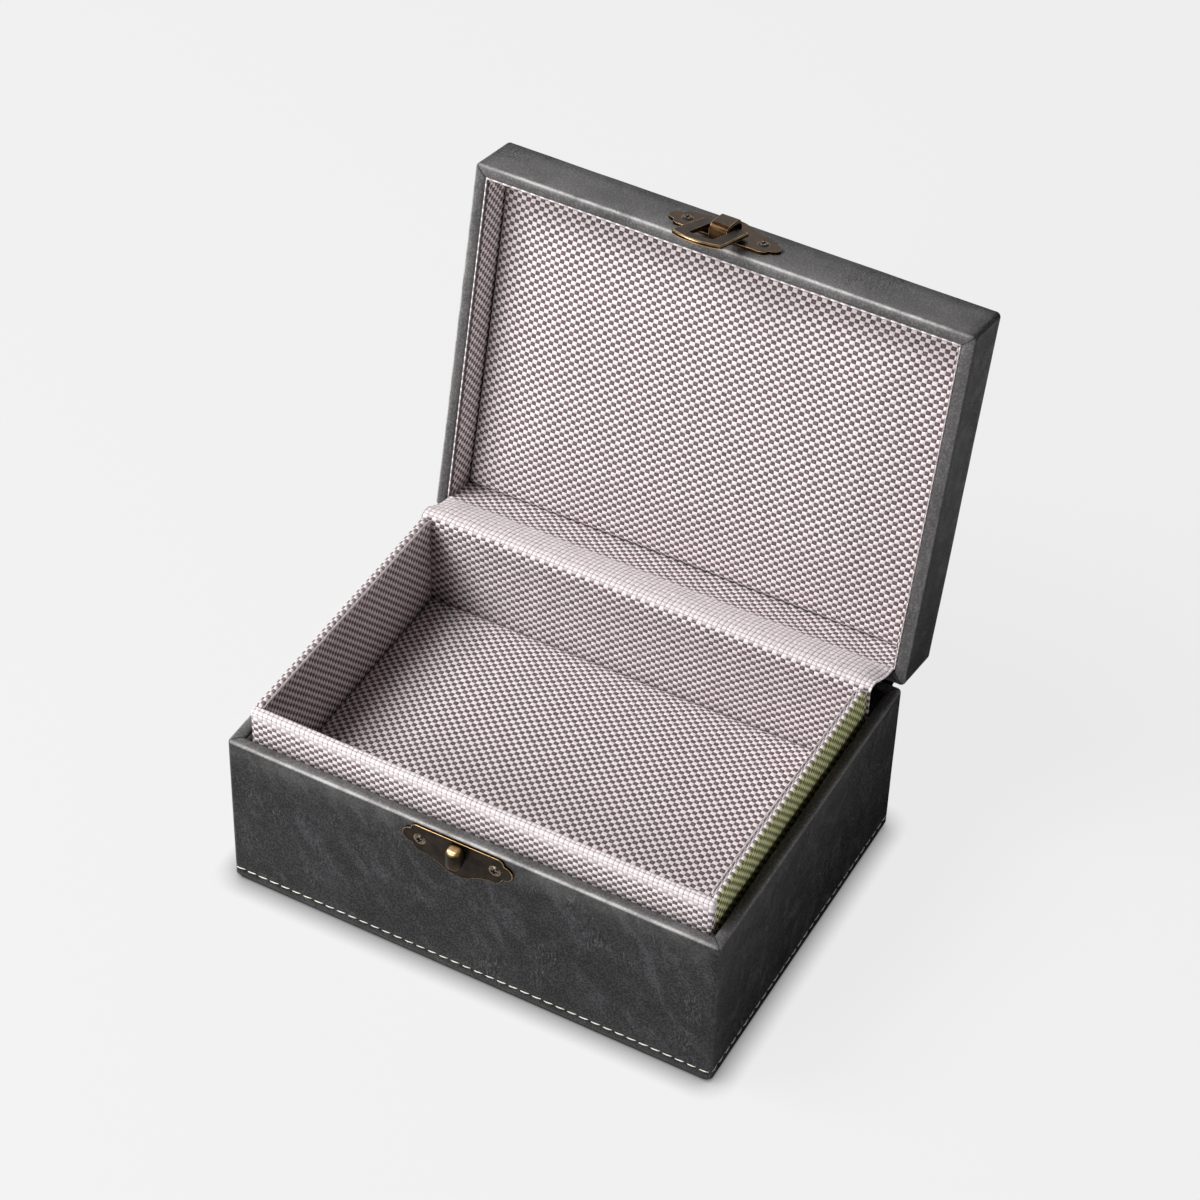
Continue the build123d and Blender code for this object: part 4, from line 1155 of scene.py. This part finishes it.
def makeStitching(s):
    stitch = makeStitch(s)
    copies = []
    for turned, across, out in stitchSpots(s):
        copy = stitch.copy()
        copy.data = stitch.data.copy()
        bpy.context.collection.objects.link(copy)
        lean = Matrix.Rotation(math.radians(s["slant"]), 4, "Y")
        copy.data.transform(turned @ Matrix.Translation((across, -out + 0.02 * mm, s["height"])) @ lean)
        copies.append(copy)
    bpy.data.objects.remove(stitch)
    deselect()
    for copy in copies:
        copy.select_set(True)
    bpy.context.view_layer.objects.active = copies[0]
    bpy.ops.object.join()
    row = nameActive("foot_stitching")
    dress(row, thread)
    smooth(row, 70)
    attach(row, "base")


makeStitching(stitchSettings)
print("stitching made")


# metalwork, and the hidden pieces, which keep their solids

plateSettings = {
    "catch_plate": {"body": "base", "round": 0.22 * mm, "finish": (shadedCatchBronze, shadedCatchBronzeEdge)},
    "hasp_plate": {"body": "lid", "round": 0.22 * mm, "finish": (bronze, rubbedHighlitBronze)},
    "hasp_loop": {"body": "hasp", "round": 0.12 * mm, "finish": (bronze, rubbedHighlitBronze)},
}
postSettings = {
    "finish": (shadedCatchBronze,),
    "grain": 0.12 * mm,  # width of one face of the eased hook
    "easing": 120,
    "topReach": 5 * mm,  # how far down the rubbing and painted highlight reach
}


def copySolid(name, finish):
    # a copy of the solid, its loose triangles merged back into faces
    metal = bpy.data.objects.new(name + "_worn", nodes[name].data.copy())
    bpy.context.scene.collection.objects.link(metal)
    activate(metal)
    bpy.ops.object.mode_set(mode="EDIT")
    bpy.ops.mesh.select_all(action="SELECT")
    bpy.ops.mesh.remove_doubles(threshold=0.004 * mm)
    bpy.ops.mesh.dissolve_limited(angle_limit=math.radians(2))
    bpy.ops.object.mode_set(mode="OBJECT")
    dress(metal, *finish)
    return metal


def makePlate(name, s):
    # sheet metal, its edges worn round and bare, their gold partly a painted highlight
    plate = copySolid(name, s["finish"])
    smooth(plate, 40)
    edge = plate.modifiers.new("edge", "BEVEL")
    edge.width = s["round"]
    edge.segments = 3
    edge.limit_method = "ANGLE"
    edge.angle_limit = math.radians(30)
    edge.harden_normals = True
    edge.material = 1
    applyModifiers(plate)
    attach(plate, s["body"])
    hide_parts(name)


def makePost(s):
    # the hook is cast and tumbled, so it is eased all over
    post = copySolid("catch_post", s["finish"])
    smooth(post, 180)
    grain = post.modifiers.new("grain", "REMESH")
    grain.mode = "VOXEL"
    grain.voxel_size = s["grain"]
    easing = post.modifiers.new("easing", "SMOOTH")
    easing.factor = 0.5
    easing.iterations = s["easing"]
    applyModifiers(post)
    # easing draws it in, so it is let out again to the solid's box
    low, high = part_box("catch_post")
    for axis in range(3):
        spots = [vertex.co[axis] for vertex in post.data.vertices]
        start, stop = min(spots), max(spots)
        stretch = (high[axis] - low[axis]) / (stop - start)
        for vertex in post.data.vertices:
            vertex.co[axis] = low[axis] + (vertex.co[axis] - start) * stretch
    smooth(post, 80)
    # the top of the hook is bare on its upward faces: rubbed by fingers and the loop, and a painted highlight
    top = max(vertex.co.z for vertex in post.data.vertices)
    normals = {vertex.co.to_tuple(9): vertex.normal.z for vertex in post.data.vertices}
    markPoints(post, "rubbedAndHighlit", lambda spot: 0.75 * (normals[spot.to_tuple(9)] - 0.2) * (
        1.2 - (top - spot.z) / s["topReach"]) + 0.08)
    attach(post, "base")
    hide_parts("catch_post")


for name, settings in plateSettings.items():
    makePlate(name, settings)
makePost(postSettings)
for name in ("catch_screws", "hasp_screws"):
    dress(nodes[name], screwSteel)
dress(nodes["base_bottom_cover"], undersideLeather)
for name in nodes:
    if name.endswith(("_board", "_card")):
        dress(nodes[name], fibreboard)
    if name.endswith("_shield"):
        dress(nodes[name], foilMetal)
dress(nodes["floor_riser"], foam)
print("metal and hidden pieces dressed")


# floor, light and camera

floorSettings = {
    "size": 6,
    "tone": "#f0f0f0",
    "seenTone": "#f1f1f1",
    "shadowReach": 6.5 * mm,
    "shadow": 1.4,
}


def stageFloor(s):
    # a matt board: the eye sees an even pale tone, with a painted contact shadow only close round the box
    bpy.ops.mesh.primitive_plane_add(size=s["size"], location=(0, 0, 0))
    floor = nameActive("studio_floor")
    material, tree, shader = newMaterial("paleFloor")
    plug(tree, shader, {"Base Color": colour(s["tone"]), "Roughness": 0.9, "Specular IOR Level": 0.0})
    # painted shadow: the seen tone is darkened by ambient occlusion close round the box
    near = addNode(tree, "AmbientOcclusion", {"samples": 8}, {"Distance": s["shadowReach"]})["AO"]
    clear = addNode(tree, "Math", {"operation": "POWER"}, {0: near, 1: s["shadow"]})[0]
    pale = addNode(tree, "Emission", None, {"Color": colour(s["seenTone"]), "Strength": clear})[0]
    seen = addNode(tree, "LightPath")["Is Camera Ray"]
    seen = addNode(tree, "Math", times, {0: seen, 1: 0.92})[0]
    mix = addNode(tree, "MixShader", None, {0: seen, 1: shader.outputs[0], 2: pale})[0]
    plug(tree, tree.nodes["Material Output"], {"Surface": mix})
    dress(floor, material)


def stageWorld(strength, mirrored):
    world = bpy.data.worlds.new("studio")
    bpy.context.scene.world = world
    world.use_nodes = True
    tree = world.node_tree
    path = addNode(tree, "LightPath")
    seen = addNode(tree, "Math", {"operation": "MAXIMUM"},
                   {0: path["Is Camera Ray"], 1: path["Is Transmission Ray"]})[0]
    plain = addNode(tree, "MapRange", smoothly, {0: path["Is Glossy Ray"], 3: strength, 4: mirrored})[0]
    level = addNode(tree, "Mix", {"data_type": "FLOAT"}, {0: seen, 2: plain, 3: 1.0})[0]
    plug(tree, tree.nodes["Background"], {"Color": colour(floorSettings["tone"]), "Strength": level})


def softLamp(name, place, target, size, power, onlyShine=False):
    bpy.ops.object.light_add(type="AREA", location=place)
    lamp = bpy.context.active_object
    lamp.name = name
    lamp.data.shape = "SQUARE"
    lamp.data.size = size
    lamp.data.energy = power
    lamp.visible_diffuse = not onlyShine
    lamp.rotation_euler = (Vector(target) - Vector(place)).to_track_quat("-Z", "Y").to_euler()


lampSettings = {
    "key": {"place": (-0.55, -0.3, 0.95), "size": 0.5, "power": 11.5},
    "front": {"place": (-0.4, -0.95, 0.55), "size": 0.5, "power": 7.0},
    "low": {"place": (0.7, -0.15, 0.05), "size": 0.09, "power": 0.8},
    # a soft box behind, which only shows as a sheen on what faces up
    "sheen": {"place": (-0.33, 0.7, 0.6), "size": 0.9, "power": 2.8, "onlyShine": True},
}
cameraSettings = {
    "azimuth": 27.21,
    "elevation": 43.19,
    "roll": 2.09,
    "distance": 890.6 * mm,
    "target": (0, -2.4 * mm, 40.8 * mm),
    "slideRight": 9.2 * mm,
    "slideUp": 35.54 * mm,
    "lens": 107.5,
}


def placeCamera(s):
    around, up, roll = (math.radians(s[k]) for k in ("azimuth", "elevation", "roll"))
    back = Vector((math.sin(around) * math.cos(up), -math.cos(around) * math.cos(up), math.sin(up)))
    level = (-back).cross(Vector((0, 0, 1))).normalized()
    upright = level.cross(-back).normalized()
    right = level * math.cos(roll) + upright * math.sin(roll)
    top = -level * math.sin(roll) + upright * math.cos(roll)
    place = Vector(s["target"]) + back * s["distance"] + right * s["slideRight"] + top * s["slideUp"]
    camera = bpy.data.objects.new("camera", bpy.data.cameras.new("camera"))
    bpy.context.scene.collection.objects.link(camera)
    turned = Matrix((right, top, back)).transposed().to_4x4()
    camera.matrix_world = Matrix.Translation(place) @ turned
    camera.data.lens = s["lens"]
    camera.data.sensor_width = 36
    camera.data.clip_start = 0.05
    camera.data.clip_end = 20
    bpy.context.scene.camera = camera


stageFloor(floorSettings)
stageWorld(strength=0.05, mirrored=0.2)
for name, lamp in lampSettings.items():
    softLamp(name, target=(0, 0, 0.05), **lamp)
placeCamera(cameraSettings)
bpy.context.scene.view_settings.view_transform = "Standard"
print("stage set")
